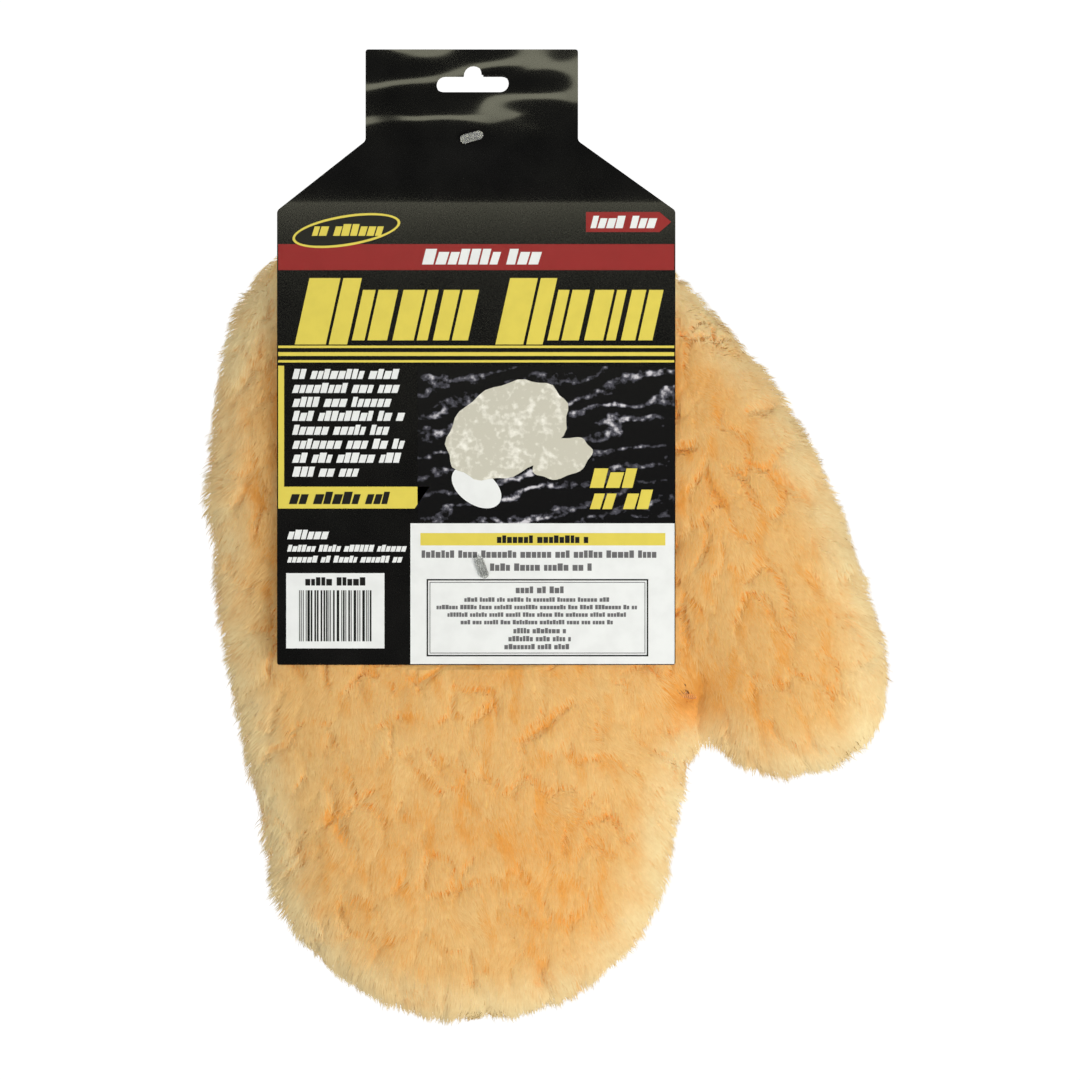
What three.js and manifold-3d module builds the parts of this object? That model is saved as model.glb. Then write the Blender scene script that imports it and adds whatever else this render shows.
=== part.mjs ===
// Plush wash mitt with thumb, hung by its header card.
// Millimetres, +Z up. The palm side with the card faces -Y and +X is the wearer's thumb side.
// The origin is the centre of the card's hang slot, in the middle of the front leaf's thickness.

import * as THREE from 'three';
import { mergeVertices } from 'three/addons/utils/BufferGeometryUtils.js';
import Module from 'manifold-3d';

const wasm = await Module();
wasm.setup();

// ---- driving dimensions -------------------------------------------------------------------

const GAP = 0.3; // clearance kept between neighbouring pieces
const OVERCUT = 5; // how far a cutting tool runs past what it cuts

// Header card: one die-cut board whose top flap folds back and is glued to the tab.
const CARD_THICKNESS = 0.6;
const CARD_WIDTH = 135;
const CARD_CENTRE_X = 1.5;
const CARD_TOP_Z = 11.6;
const CARD_BOTTOM_Z = -197;
const TAB_WIDTH = 72;
const TAB_SIDE_BOTTOM_Z = -19.4;
const SHOULDER_BOTTOM_Z = -43;
const CARD_CORNER_RADIUS = 1;
const FLAP_BOTTOM_Z = -12;
const FLAP_MISFIT = 0.6;
const CARD_RECESS_MARGIN = 1; // the pile is pressed back this far beyond the card's edges
const CARD_RECESS_GAP = 0.5; // and this far behind its rear face

// Hang slot: a long slot with a round bump in the middle of its upper edge.
const SLOT_WIDTH = 25;
const SLOT_HEIGHT = 5.8;
const SLOT_BUMP_RADIUS = 3.3;
const SLOT_BUMP_TOP_Z = 6.5;

// Mitt body, measured over the tips of the pile.
const MITT_LENGTH = 305; // cuff top to fingertips, 12 inches
const CUFF_TOP_Z = -14;
const MITT_BOTTOM_Z = CUFF_TOP_Z - MITT_LENGTH;
const NECK_Z = -46;
const PALM_CENTRE_X = -1.5;
const PALM_HALF_WIDTH = 91;
const PALM_HALF_DEPTH = 23;
const PALM_CENTRE_Y = 21;
const NECK_HALF_WIDTH = 53;
const NECK_HALF_DEPTH = 13;
const NECK_CENTRE_Y = 15;
const NECK_FLARE_LENGTH = 50; // over which the palm thins to the neck
const FINGER_LENGTH = 62; // height of the rounded fingertip end
const FINGER_HALF_WIDTH = 71;
const FINGER_SWEEP = 0.97; // share of a quarter turn that the fingertip end makes
const FINGER_BLUNTNESS = 0.6; // below 1, the end stays thick nearly to its edge

// Thumb: a plump lobe that curves out and down from the palm.
const THUMB_ROOT = new THREE.Vector3(50, PALM_CENTRE_Y, -84);
const THUMB_BEND = new THREE.Vector3(90, PALM_CENTRE_Y, -125);
const THUMB_TIP_CENTRE = new THREE.Vector3(109, PALM_CENTRE_Y, -201);
const THUMB_HALF_WIDTH = 34;
const THUMB_HALF_DEPTH = 21;
const THUMB_ROOT_HALF_WIDTH = 30;
const THUMB_ROOT_LAYER_HALF_WIDTH = 9; // under the pile the root stays inside the palm
const THUMB_ROOT_DEPTH_SHARE = 0.75;
const THUMB_SWELL_SHARE = 0.6; // share of its length over which the thumb reaches full size
const THUMB_TIP_SWEEP = 0.96;
const THUMB_TIP_BLUNTNESS = 0.75;

// Layers of the wall, from the outside in.
const PILE_DEPTH = 12;
const NECK_PILE_DEPTH = 4;
const BACKING_THICKNESS = 1.2;

// Ribbed cuff: a doubled tube of knit, folded at the hem.
const CUFF_TOP_HALF_WIDTH = 34;
const CUFF_TOP_HALF_DEPTH = 8;
const CUFF_TOP_CENTRE_Y = 10;
const CUFF_HEM_ROUNDING = 1;
const CUFF_WALL = 2.4;

// Seams and thread.
const CUFF_SEAM_HEIGHT = 6;
const CUFF_SEAM_THICKNESS = 1.4;
const SEAM_ALLOWANCE = 5;
const SEAM_THICKNESS = 2.4;
const PALM_SEAM_LEFT_STOPS = [0.52, 0.62, 0.72, 0.85]; // shares of the way down the palm's edge
const PALM_SEAM_RIGHT_STOP = 0.92;
const PALM_SEAM_TIP_STEPS = 8;
const THUMB_SEAM_TIP_STOPS = [195, 235, 275, 310, 345]; // degrees round the centre of its tip
const THUMB_SEAM_BACK_STOPS = [0.9, 0.76, 0.64]; // shares of the way along its spine
const BARTACK = new THREE.Vector3(73, PALM_CENTRE_Y, -208);
const BARTACK_LENGTH = 9;
const BARTACK_BAR_DEPTH = 1.6;
const BARTACK_BAR_HEIGHT = 2.4;
const BARTACK_POST_RADIUS = 1;
const DIMPLE_MOUTH_RADIUS = 10;
const DIMPLE_FLOOR_MARGIN = 0.5; // round the ends of the bartack
const WEB_TOP_Z = -140;
const WEB_BOTTOM_Z = -219;
const WEB_CENTRE_X = 78;
const WEB_HALF_WIDTH = 20;
const WEB_PILE_HALF_WIDTH = 26;
const WEB_PILE_HALF_DEPTH = 18.5;
const WEB_HALF_DEPTH = 5.5;
const WEB_END_ROUNDING = 0.9; // how far the web narrows at its ends, 1 being to a point

// Nylon tag pins: a paddle in front of the card, a filament, and a crossbar at the far end.
const FILAMENT_RADIUS = 0.3;
const PIN_HOLE_RADIUS = 0.8;
const PADDLE_LENGTH = 8;
const PADDLE_HEIGHT = 3;
const PADDLE_DEPTH = 1.1;
const CROSSBAR_LENGTH = 8;
const CROSSBAR_RADIUS = 0.6;
const UPPER_PIN = { x: 0, z: -18.2, reach: 21, tilt: 15 };
const LOWER_PIN = { x: 3.4, z: -163.9, reach: 25, tilt: -70 };
const WALL_HOLE_RADIUS = 2; // in knit, which stretches open as the mitt swings

// ---- solids: join, cut and convert --------------------------------------------------------

/** Turns a closed three.js geometry into a manifold solid. */
function toSolid(geometry) {
  const bare = geometry.index ? geometry.toNonIndexed() : geometry.clone();
  bare.deleteAttribute('normal');
  bare.deleteAttribute('uv');
  const welded = mergeVertices(bare, 1e-4);
  const vertProperties = new Float32Array(welded.attributes.position.array);
  const triVerts = new Uint32Array(welded.index.array);
  return new wasm.Manifold(new wasm.Mesh({ numProp: 3, vertProperties, triVerts }));
}

/** Turns a manifold solid back into a three.js geometry. */
function toGeometry(solid) {
  const { vertProperties, triVerts } = solid.getMesh();
  const geometry = new THREE.BufferGeometry();
  geometry.setAttribute('position', new THREE.BufferAttribute(vertProperties, 3));
  geometry.setIndex(new THREE.BufferAttribute(triVerts, 1));
  geometry.computeVertexNormals();
  return geometry;
}

/** A box between two corners. */
function boxBetween(low, high) {
  const size = high.clone().sub(low);
  const centre = low.clone().add(high).multiplyScalar(0.5);
  const geometry = new THREE.BoxGeometry(size.x, size.y, size.z);
  geometry.translate(centre.x, centre.y, centre.z);
  return toSolid(geometry);
}

/** A plate whose outline is drawn in X and Z, from frontY back through its thickness. */
function plate(outline, frontY, thickness) {
  const options = { depth: thickness, bevelEnabled: false, curveSegments: 5 };
  const geometry = new THREE.ExtrudeGeometry(outline, options);
  geometry.rotateX(Math.PI / 2);
  geometry.translate(0, frontY + thickness, 0);
  return toSolid(geometry);
}

/** A rod along Y, centred on (x, z), from yFront to yBack. */
function rodAlongY(radius, x, z, yFront, yBack, sides = 10) {
  const geometry = new THREE.CylinderGeometry(radius, radius, yBack - yFront, sides);
  geometry.translate(x, (yFront + yBack) / 2, z);
  return toSolid(geometry);
}

// Facets round a ring of each form.
const PALM_SIDES = 26;
const THUMB_SIDES = 18;
const WEB_SIDES = 12;

/** Skins a row of equal-length rings, which turn clockwise seen along the row, and fans its ends. */
function loft(rings) {
  const count = rings[0].length;
  const positions = rings.flat();
  const centreOf = (ring) =>
    ring.reduce((sum, point) => sum.add(point), new THREE.Vector3()).multiplyScalar(1 / count);
  const firstCentre = positions.push(centreOf(rings[0])) - 1;
  const lastCentre = positions.push(centreOf(rings.at(-1))) - 1;
  const lastRing = (rings.length - 1) * count;
  const index = [];
  for (let i = 0; i < count; i += 1) {
    const j = (i + 1) % count;
    for (let r = 0; r < lastRing; r += count) {
      index.push(r + i, r + count + j, r + j);
      index.push(r + i, r + count + i, r + count + j);
    }
    index.push(firstCentre, i, j);
    index.push(lastCentre, lastRing + j, lastRing + i);
  }
  const geometry = new THREE.BufferGeometry().setFromPoints(positions);
  geometry.setIndex(index);
  return toSolid(geometry);
}

/** A rounded flat ring around a centre: wide along `across`, shallow along Y. */
function flatRing(centre, across, halfWidth, halfDepth, sides = PALM_SIDES) {
  const squareness = 2.3;
  const ring = [];
  for (let i = 0; i < sides; i += 1) {
    const angle = (2 * Math.PI * i) / sides;
    const c = Math.cos(angle);
    const s = Math.sin(angle);
    const u = Math.sign(c) * Math.abs(c) ** (2 / squareness) * halfWidth;
    const v = Math.sign(s) * Math.abs(s) ** (2 / squareness) * halfDepth;
    ring.push(centre.clone().addScaledVector(across, u).add(new THREE.Vector3(0, v, 0)));
  }
  return ring;
}

// ---- shape of the mitt --------------------------------------------------------------------

const ACROSS = new THREE.Vector3(1, 0, 0);
const { lerp, smoothstep } = THREE.MathUtils;

// Half width of the palm down from the neck to the top of the fingertip end.
const palmEdge = new THREE.SplineCurve([
  new THREE.Vector2(NECK_Z, NECK_HALF_WIDTH),
  new THREE.Vector2(NECK_Z - 9, 65),
  new THREE.Vector2(NECK_Z - 25, 79),
  new THREE.Vector2(NECK_Z - 54, 87),
  new THREE.Vector2(NECK_Z - 92, PALM_HALF_WIDTH),
  new THREE.Vector2(NECK_Z - 145, 85),
  new THREE.Vector2(MITT_BOTTOM_Z + FINGER_LENGTH, FINGER_HALF_WIDTH),
]);

/** How far a layer lies inside the pile's tips, at a height z. */
function layerInset(extra, z) {
  const pile = lerp(PILE_DEPTH, NECK_PILE_DEPTH, smoothstep(z, NECK_Z - 34, NECK_Z));
  return extra < 0 ? 0 : pile + extra;
}

/** The palm's form, from startZ down, inset to one layer. A negative extra is the outside. */
function palmForm(extra, startZ) {
  const rings = [];
  const addRing = (z, halfWidth, halfDepth) => {
    const forward = smoothstep(z, NECK_Z - 60, NECK_Z);
    const y = lerp(PALM_CENTRE_Y, NECK_CENTRE_Y, forward);
    rings.push(flatRing(new THREE.Vector3(PALM_CENTRE_X, y, z), ACROSS, halfWidth, halfDepth));
  };
  const neckInset = layerInset(extra, NECK_Z);
  if (startZ > NECK_Z) addRing(startZ, NECK_HALF_WIDTH - neckInset, NECK_HALF_DEPTH - neckInset);
  const sideSteps = 9;
  for (let i = 0; i <= sideSteps; i += 1) {
    const point = palmEdge.getPoint(i / sideSteps);
    const z = point.x;
    const inset = layerInset(extra, z);
    const depth = lerp(PALM_HALF_DEPTH, NECK_HALF_DEPTH, smoothstep(z, NECK_Z - NECK_FLARE_LENGTH, NECK_Z));
    addRing(z, point.y - inset, depth - inset);
  }
  const inset = layerInset(extra, MITT_BOTTOM_Z);
  const tipSteps = 6;
  for (let i = 1; i <= tipSteps; i += 1) {
    const angle = (FINGER_SWEEP * i * Math.PI) / (2 * tipSteps);
    const z = MITT_BOTTOM_Z + FINGER_LENGTH - Math.sin(angle) * (FINGER_LENGTH - inset);
    const narrowing = Math.cos(angle);
    const thinning = narrowing ** FINGER_BLUNTNESS;
    addRing(z, (FINGER_HALF_WIDTH - inset) * narrowing, (PALM_HALF_DEPTH - inset) * thinning);
  }
  return loft(rings);
}

/** The thumb's form, inset to one layer. */
function thumbForm(extra) {
  const inset = layerInset(extra, THUMB_TIP_CENTRE.z);
  const spine = new THREE.QuadraticBezierCurve3(THUMB_ROOT, THUMB_BEND, THUMB_TIP_CENTRE);
  const fullHalfWidth = THUMB_HALF_WIDTH - inset;
  const rootHalfWidth = extra < 0 ? THUMB_ROOT_HALF_WIDTH : THUMB_ROOT_LAYER_HALF_WIDTH;
  const rings = [];
  const addRing = (centre, tangent, halfWidth, halfDepth) => {
    const across = new THREE.Vector3(-tangent.z, 0, tangent.x);
    rings.push(flatRing(centre, across, halfWidth, halfDepth, THUMB_SIDES));
  };
  const shaftSteps = 6;
  for (let i = 0; i <= shaftSteps; i += 1) {
    const share = i / shaftSteps;
    const swelling = smoothstep(share, 0, THUMB_SWELL_SHARE);
    const halfWidth = lerp(rootHalfWidth, fullHalfWidth, swelling);
    const halfDepth = THUMB_HALF_DEPTH * lerp(THUMB_ROOT_DEPTH_SHARE, 1, swelling) - inset;
    addRing(spine.getPoint(share), spine.getTangent(share), halfWidth, halfDepth);
  }
  const tangent = spine.getTangent(1);
  const tipSteps = 5;
  for (let i = 1; i <= tipSteps; i += 1) {
    const angle = (THUMB_TIP_SWEEP * i * Math.PI) / (2 * tipSteps);
    const narrowing = Math.cos(angle) ** THUMB_TIP_BLUNTNESS;
    const centre = THUMB_TIP_CENTRE.clone().addScaledVector(tangent, Math.sin(angle) * fullHalfWidth);
    addRing(centre, tangent, fullHalfWidth * narrowing, (THUMB_HALF_DEPTH - inset) * narrowing);
  }
  return loft(rings);
}

/** The web between palm and thumb: deep in the pile, shallow in the layers under it. */
function webForm(extra) {
  const inPile = extra < 0;
  const inset = inPile ? 0 : extra;
  const fullHalfWidth = inPile ? WEB_PILE_HALF_WIDTH : WEB_HALF_WIDTH - inset;
  const fullHalfDepth = inPile ? WEB_PILE_HALF_DEPTH : WEB_HALF_DEPTH - inset;
  const topZ = inPile ? THUMB_ROOT.z : WEB_TOP_Z;
  const rings = [];
  const steps = 6;
  for (let i = 0; i <= steps; i += 1) {
    const share = i / steps;
    const centre = new THREE.Vector3(WEB_CENTRE_X, PALM_CENTRE_Y, lerp(topZ, WEB_BOTTOM_Z + inset, share));
    const swelling = inPile ? Math.sqrt(1 - WEB_END_ROUNDING * (1 - share) ** 4) : 1;
    const scale = swelling * Math.sqrt(1 - WEB_END_ROUNDING * share ** 4);
    rings.push(flatRing(centre, ACROSS, fullHalfWidth * scale, fullHalfDepth * scale, WEB_SIDES));
  }
  return loft(rings);
}

/** Palm, thumb and the web between them as one form. */
function mittForm(extra, startZ = NECK_Z) {
  return palmForm(extra, startZ).add(thumbForm(extra)).add(webForm(extra));
}

const OPEN_TOP_Z = NECK_Z + 3;
const outerForm = mittForm(-1);
const backingCavity = mittForm(0, OPEN_TOP_Z);
const backingForm = mittForm(GAP);
const pocketForm = mittForm(GAP + BACKING_THICKNESS, OPEN_TOP_Z);

const REACH = 400;
const frontSpace = boxBetween(
  new THREE.Vector3(-REACH, -REACH, -REACH),
  new THREE.Vector3(REACH, PALM_CENTRE_Y - GAP / 2, REACH),
);
const rearSpace = boxBetween(
  new THREE.Vector3(-REACH, PALM_CENTRE_Y + GAP / 2, -REACH),
  new THREE.Vector3(REACH, REACH, REACH),
);

// ---- clearances cut through the mitt ------------------------------------------------------

const CARD_BACK_Y = CARD_THICKNESS / 2;

// The card presses the pile back level with its own rear face.
const cardRecess = boxBetween(
  new THREE.Vector3(
    CARD_CENTRE_X - CARD_WIDTH / 2 - CARD_RECESS_MARGIN, -REACH, CARD_BOTTOM_Z - CARD_RECESS_MARGIN,
  ),
  new THREE.Vector3(
    CARD_CENTRE_X + CARD_WIDTH / 2 + CARD_RECESS_MARGIN, CARD_BACK_Y + CARD_RECESS_GAP, 0,
  ),
);

// The lower pin's filament passes the front wall through this hole.
const lowerPinHole = rodAlongY(
  WALL_HOLE_RADIUS, LOWER_PIN.x, LOWER_PIN.z, -PALM_HALF_DEPTH, PALM_CENTRE_Y,
);

/** A cone-shaped dimple that the bartack pulls into the pile, on the front or the rear side. */
function bartackDimple(side) {
  const depth = THUMB_HALF_DEPTH;
  const narrow = BARTACK_LENGTH / 2 + DIMPLE_FLOOR_MARGIN;
  const wide = DIMPLE_MOUTH_RADIUS;
  const cone = side > 0
    ? new THREE.CylinderGeometry(wide, narrow, depth, 20)
    : new THREE.CylinderGeometry(narrow, wide, depth, 20);
  cone.translate(BARTACK.x, BARTACK.y + side * (depth / 2 + WEB_HALF_DEPTH - GAP), BARTACK.z);
  return toSolid(cone);
}

const dimples = bartackDimple(-1).add(bartackDimple(1));
const BARTACK_SPAN = 2 * (WEB_HALF_DEPTH + GAP); // between the inner faces of its two bars
const bartackPostHole = rodAlongY(
  BARTACK_POST_RADIUS + GAP, BARTACK.x, BARTACK.z, BARTACK.y - REACH, BARTACK.y + REACH,
);

// ---- header card --------------------------------------------------------------------------

/** The hang slot's outline, moved by a small misfit. */
function slotPath(shift = 0) {
  const end = SLOT_HEIGHT / 2;
  const run = SLOT_WIDTH / 2 - end;
  const bumpRise = SLOT_BUMP_TOP_Z - SLOT_BUMP_RADIUS - end;
  const path = new THREE.Path();
  path.moveTo(-run + shift, -end - shift);
  path.lineTo(run + shift, -end - shift);
  path.absarc(run + shift, -shift, end, -Math.PI / 2, Math.PI / 2);
  path.lineTo(SLOT_BUMP_RADIUS + shift, end - shift);
  path.absarc(shift, end + bumpRise - shift, SLOT_BUMP_RADIUS, 0, Math.PI);
  path.lineTo(-SLOT_BUMP_RADIUS + shift, end - shift);
  path.lineTo(-run + shift, end - shift);
  path.absarc(-run + shift, -shift, end, Math.PI / 2, (3 * Math.PI) / 2);
  return path;
}

/** A closed shape through corners given as [x, z], each rounded with the same radius. */
function roundedShape(corners, radius) {
  const shape = new THREE.Shape();
  const points = corners.map(([x, z]) => new THREE.Vector2(x, z));
  points.forEach((corner, i) => {
    const before = points.at(i - 1).clone().sub(corner).setLength(radius).add(corner);
    const after = points[(i + 1) % points.length].clone().sub(corner).setLength(radius).add(corner);
    if (i === 0) shape.moveTo(before.x, before.y);
    else shape.lineTo(before.x, before.y);
    shape.quadraticCurveTo(corner.x, corner.y, after.x, after.y);
  });
  shape.closePath();
  return shape;
}

function headerCard() {
  const left = CARD_CENTRE_X - CARD_WIDTH / 2;
  const right = CARD_CENTRE_X + CARD_WIDTH / 2;
  const face = roundedShape([
    [left, CARD_BOTTOM_Z],
    [right, CARD_BOTTOM_Z],
    [right, SHOULDER_BOTTOM_Z],
    [TAB_WIDTH / 2, TAB_SIDE_BOTTOM_Z],
    [TAB_WIDTH / 2, CARD_TOP_Z],
    [-TAB_WIDTH / 2, CARD_TOP_Z],
    [-TAB_WIDTH / 2, TAB_SIDE_BOTTOM_Z],
    [left, SHOULDER_BOTTOM_Z],
  ], CARD_CORNER_RADIUS);
  face.holes.push(slotPath());
  const flap = roundedShape([
    [-TAB_WIDTH / 2, FLAP_BOTTOM_Z],
    [TAB_WIDTH / 2, FLAP_BOTTOM_Z],
    [TAB_WIDTH / 2, CARD_TOP_Z],
    [-TAB_WIDTH / 2, CARD_TOP_Z],
  ], CARD_CORNER_RADIUS);
  flap.holes.push(slotPath(FLAP_MISFIT));
  const frontLeaf = plate(face, -CARD_THICKNESS / 2, CARD_THICKNESS);
  const rearLeaf = plate(flap, 0, CARD_BACK_Y + CARD_THICKNESS);
  const pinHoles = [UPPER_PIN, LOWER_PIN].map(
    ({ x, z }) => rodAlongY(PIN_HOLE_RADIUS, x, z, -OVERCUT, OVERCUT),
  );
  return frontLeaf.add(rearLeaf).subtract(pinHoles[0]).subtract(pinHoles[1]);
}

// ---- plush panels -------------------------------------------------------------------------

/** The pile of one panel, standing on the outside of its knitted backing. */
function pile(halfSpace) {
  const shell = outerForm.subtract(backingCavity).subtract(dimples);
  return shell.intersect(halfSpace).subtract(cardRecess).subtract(bartackPostHole);
}

/** The knitted backing of one panel. */
function backing(halfSpace) {
  const shell = backingForm.subtract(pocketForm);
  return shell.intersect(halfSpace).subtract(bartackPostHole);
}

// The seam's middle line lies this far inside the tips of the pile.
const SEAM_INSET = PILE_DEPTH + BACKING_THICKNESS + 6 * GAP + SEAM_ALLOWANCE / 2;

/** A point of the seam line beside the palm, on the left (-1) or the right (1). */
function palmSeamPoint(side, share) {
  const edge = palmEdge.getPoint(share);
  return new THREE.Vector3(PALM_CENTRE_X + side * (edge.y - SEAM_INSET), PALM_CENTRE_Y, edge.x);
}

/** A turned-in seam allowance: a flat band that follows a line round the pocket's edge. */
function seamBand(points) {
  const section = new THREE.Shape();
  const halfHeight = SEAM_ALLOWANCE / 2;
  const halfThickness = SEAM_THICKNESS / 2;
  section.moveTo(-halfThickness, -halfHeight);
  section.lineTo(halfThickness, -halfHeight);
  section.lineTo(halfThickness, halfHeight);
  section.lineTo(-halfThickness, halfHeight);
  const extrudePath = new THREE.CatmullRomCurve3(points, false, 'centripetal');
  return new THREE.ExtrudeGeometry(section, { steps: 2 * points.length, extrudePath });
}

/** From the left of the neck round the fingertips to the thumb crotch. */
function palmSeam() {
  const points = PALM_SEAM_LEFT_STOPS.map((share) => palmSeamPoint(-1, share));
  for (let i = 0; i <= PALM_SEAM_TIP_STEPS; i += 1) {
    const angle = (i * Math.PI) / PALM_SEAM_TIP_STEPS;
    const x = PALM_CENTRE_X - Math.cos(angle) * (FINGER_HALF_WIDTH - SEAM_INSET);
    const z = MITT_BOTTOM_Z + FINGER_LENGTH - Math.sin(angle) * (FINGER_LENGTH - SEAM_INSET);
    points.push(new THREE.Vector3(x, PALM_CENTRE_Y, z));
  }
  points.push(palmSeamPoint(1, PALM_SEAM_RIGHT_STOP));
  return seamBand(points);
}

/** From the thumb crotch round the thumb towards the right of the neck. */
function thumbSeam() {
  const radius = THUMB_HALF_WIDTH - SEAM_INSET;
  const points = [];
  for (const degrees of THUMB_SEAM_TIP_STOPS) {
    const offset = new THREE.Vector3(radius, 0, 0);
    offset.applyAxisAngle(new THREE.Vector3(0, -1, 0), THREE.MathUtils.degToRad(degrees));
    points.push(THUMB_TIP_CENTRE.clone().add(offset));
  }
  const spine = new THREE.QuadraticBezierCurve3(THUMB_ROOT, THUMB_BEND, THUMB_TIP_CENTRE);
  for (const share of THUMB_SEAM_BACK_STOPS) {
    const tangent = spine.getTangent(share);
    const across = new THREE.Vector3(-tangent.z, 0, tangent.x);
    points.push(spine.getPoint(share).addScaledVector(across, radius));
  }
  return seamBand(points);
}

/** Thread bars on both faces of the thumb crotch, joined by a post through the mitt. */
function thumbBartack() {
  const bar = (side) => {
    const geometry = new THREE.BoxGeometry(BARTACK_LENGTH, BARTACK_BAR_DEPTH, BARTACK_BAR_HEIGHT);
    const y = BARTACK.y + side * (BARTACK_SPAN / 2 + BARTACK_BAR_DEPTH / 2);
    geometry.translate(BARTACK.x, y, BARTACK.z);
    return toSolid(geometry);
  };
  const reach = BARTACK_SPAN / 2 + BARTACK_BAR_DEPTH / 2;
  const post = rodAlongY(
    BARTACK_POST_RADIUS, BARTACK.x, BARTACK.z, BARTACK.y - reach, BARTACK.y + reach,
  );
  return post.add(bar(-1)).add(bar(1));
}

// ---- cuff ---------------------------------------------------------------------------------

/** A tube that follows the cuff from its seam to its hem, inset by the same amount all round. */
function cuffForm(inset, bottomZ, topZ, rounding) {
  const seamHalfWidth = NECK_HALF_WIDTH - NECK_PILE_DEPTH - GAP;
  const seamHalfDepth = NECK_HALF_DEPTH - NECK_PILE_DEPTH - GAP;
  const rings = [];
  const addRing = (z, extra) => {
    const share = THREE.MathUtils.clamp((z - NECK_Z) / (CUFF_TOP_Z - NECK_Z), 0, 1);
    const eased = 1 - (1 - share) ** 2;
    const halfWidth = lerp(seamHalfWidth, CUFF_TOP_HALF_WIDTH, eased) - inset - extra;
    const halfDepth = lerp(seamHalfDepth, CUFF_TOP_HALF_DEPTH, eased) - inset - extra;
    const y = lerp(NECK_CENTRE_Y, CUFF_TOP_CENTRE_Y, share);
    rings.push(flatRing(new THREE.Vector3(0, y, z), ACROSS, halfWidth, halfDepth));
  };
  const steps = 7;
  for (let i = 0; i < steps; i += 1) addRing(lerp(bottomZ, topZ - rounding, i / (steps - 1)), 0);
  if (rounding > 0) addRing(topZ, rounding);
  return loft(rings.reverse());
}

function cuff() {
  const outside = cuffForm(0, NECK_Z + GAP, CUFF_TOP_Z, CUFF_HEM_ROUNDING);
  const inside = cuffForm(CUFF_WALL, NECK_Z - OVERCUT, CUFF_TOP_Z + OVERCUT, 0);
  const { x, z } = UPPER_PIN;
  const pinHole = rodAlongY(WALL_HOLE_RADIUS, x, z, -OVERCUT, PALM_CENTRE_Y + OVERCUT);
  return outside.subtract(inside).subtract(pinHole);
}

/** The overlocked allowance lining the neck where the cuff meets the panels. */
function cuffSeam() {
  const outside = palmForm(BACKING_THICKNESS + 2 * GAP, OPEN_TOP_Z);
  const inside = palmForm(BACKING_THICKNESS + 2 * GAP + CUFF_SEAM_THICKNESS, OPEN_TOP_Z + 1);
  const band = boxBetween(
    new THREE.Vector3(-REACH, -REACH, NECK_Z - GAP - CUFF_SEAM_HEIGHT),
    new THREE.Vector3(REACH, REACH, NECK_Z - GAP),
  );
  return outside.subtract(inside).intersect(band);
}

// ---- tag pins -----------------------------------------------------------------------------

/** One tag pin along Y: paddle in front of the card, crossbar at its far end. */
function tagPin({ reach, tilt }) {
  const paddleFront = -CARD_THICKNESS / 2 - GAP - PADDLE_DEPTH;
  const end = PADDLE_HEIGHT / 2;
  const run = PADDLE_LENGTH / 2 - end;
  const outline = new THREE.Shape();
  outline.absarc(run, 0, end, -Math.PI / 2, Math.PI / 2);
  outline.absarc(-run, 0, end, Math.PI / 2, (3 * Math.PI) / 2);
  const paddle = plate(outline, paddleFront, PADDLE_DEPTH);
  const filament = rodAlongY(FILAMENT_RADIUS, 0, 0, paddleFront + PADDLE_DEPTH / 2, reach, 8);
  const crossbar = new THREE.CylinderGeometry(CROSSBAR_RADIUS, CROSSBAR_RADIUS, CROSSBAR_LENGTH, 10);
  crossbar.rotateZ(Math.PI / 2);
  crossbar.translate(0, reach, 0);
  const geometry = toGeometry(paddle.add(filament).add(toSolid(crossbar)));
  geometry.rotateY(THREE.MathUtils.degToRad(-tilt));
  return geometry;
}

// ---- materials and assembly ---------------------------------------------------------------

const material = (color, roughness, metalness = 0) =>
  new THREE.MeshStandardMaterial({ color, roughness, metalness });

const glossBoard = material(0x101010, 0.25);
const honeyPile = material(0xe7b36b, 0.95);
const knitBacking = material(0xe0a458, 0.95);
const orangeThread = material(0xd98f3c, 0.9);
const whiteRib = material(0xf1eee2, 0.9);
const whiteThread = material(0xf4f2ea, 0.85);
const clearNylon = material(0xcfd2cf, 0.4);

/** Adds one named mesh to the mitt. */
function addPiece(group, name, geometry, surface, x = 0, z = 0) {
  const mesh = new THREE.Mesh(geometry, surface);
  mesh.name = name;
  mesh.position.set(x, 0, z);
  group.add(mesh);
}

const washMitt = new THREE.Group();
addPiece(washMitt, 'header_card', toGeometry(headerCard()), glossBoard);
addPiece(washMitt, 'upper_tag_pin', tagPin(UPPER_PIN), clearNylon, UPPER_PIN.x, UPPER_PIN.z);
addPiece(washMitt, 'lower_tag_pin', tagPin(LOWER_PIN), clearNylon, LOWER_PIN.x, LOWER_PIN.z);
addPiece(washMitt, 'cuff', toGeometry(cuff()), whiteRib);
addPiece(washMitt, 'cuff_seam', toGeometry(cuffSeam()), whiteThread);
addPiece(washMitt, 'front_pile', toGeometry(pile(frontSpace).subtract(lowerPinHole)), honeyPile);
addPiece(washMitt, 'rear_pile', toGeometry(pile(rearSpace)), honeyPile);
addPiece(washMitt, 'front_backing', toGeometry(backing(frontSpace).subtract(lowerPinHole)), knitBacking);
addPiece(washMitt, 'rear_backing', toGeometry(backing(rearSpace)), knitBacking);
addPiece(washMitt, 'palm_seam', palmSeam(), orangeThread);
addPiece(washMitt, 'thumb_seam', thumbSeam(), orangeThread);
addPiece(washMitt, 'thumb_bartack', toGeometry(thumbBartack()), orangeThread);

export default washMitt;
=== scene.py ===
import math

import bmesh
import bpy
import numpy as np
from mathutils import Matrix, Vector
from mathutils.bvhtree import BVHTree
from mathutils.kdtree import KDTree


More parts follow.
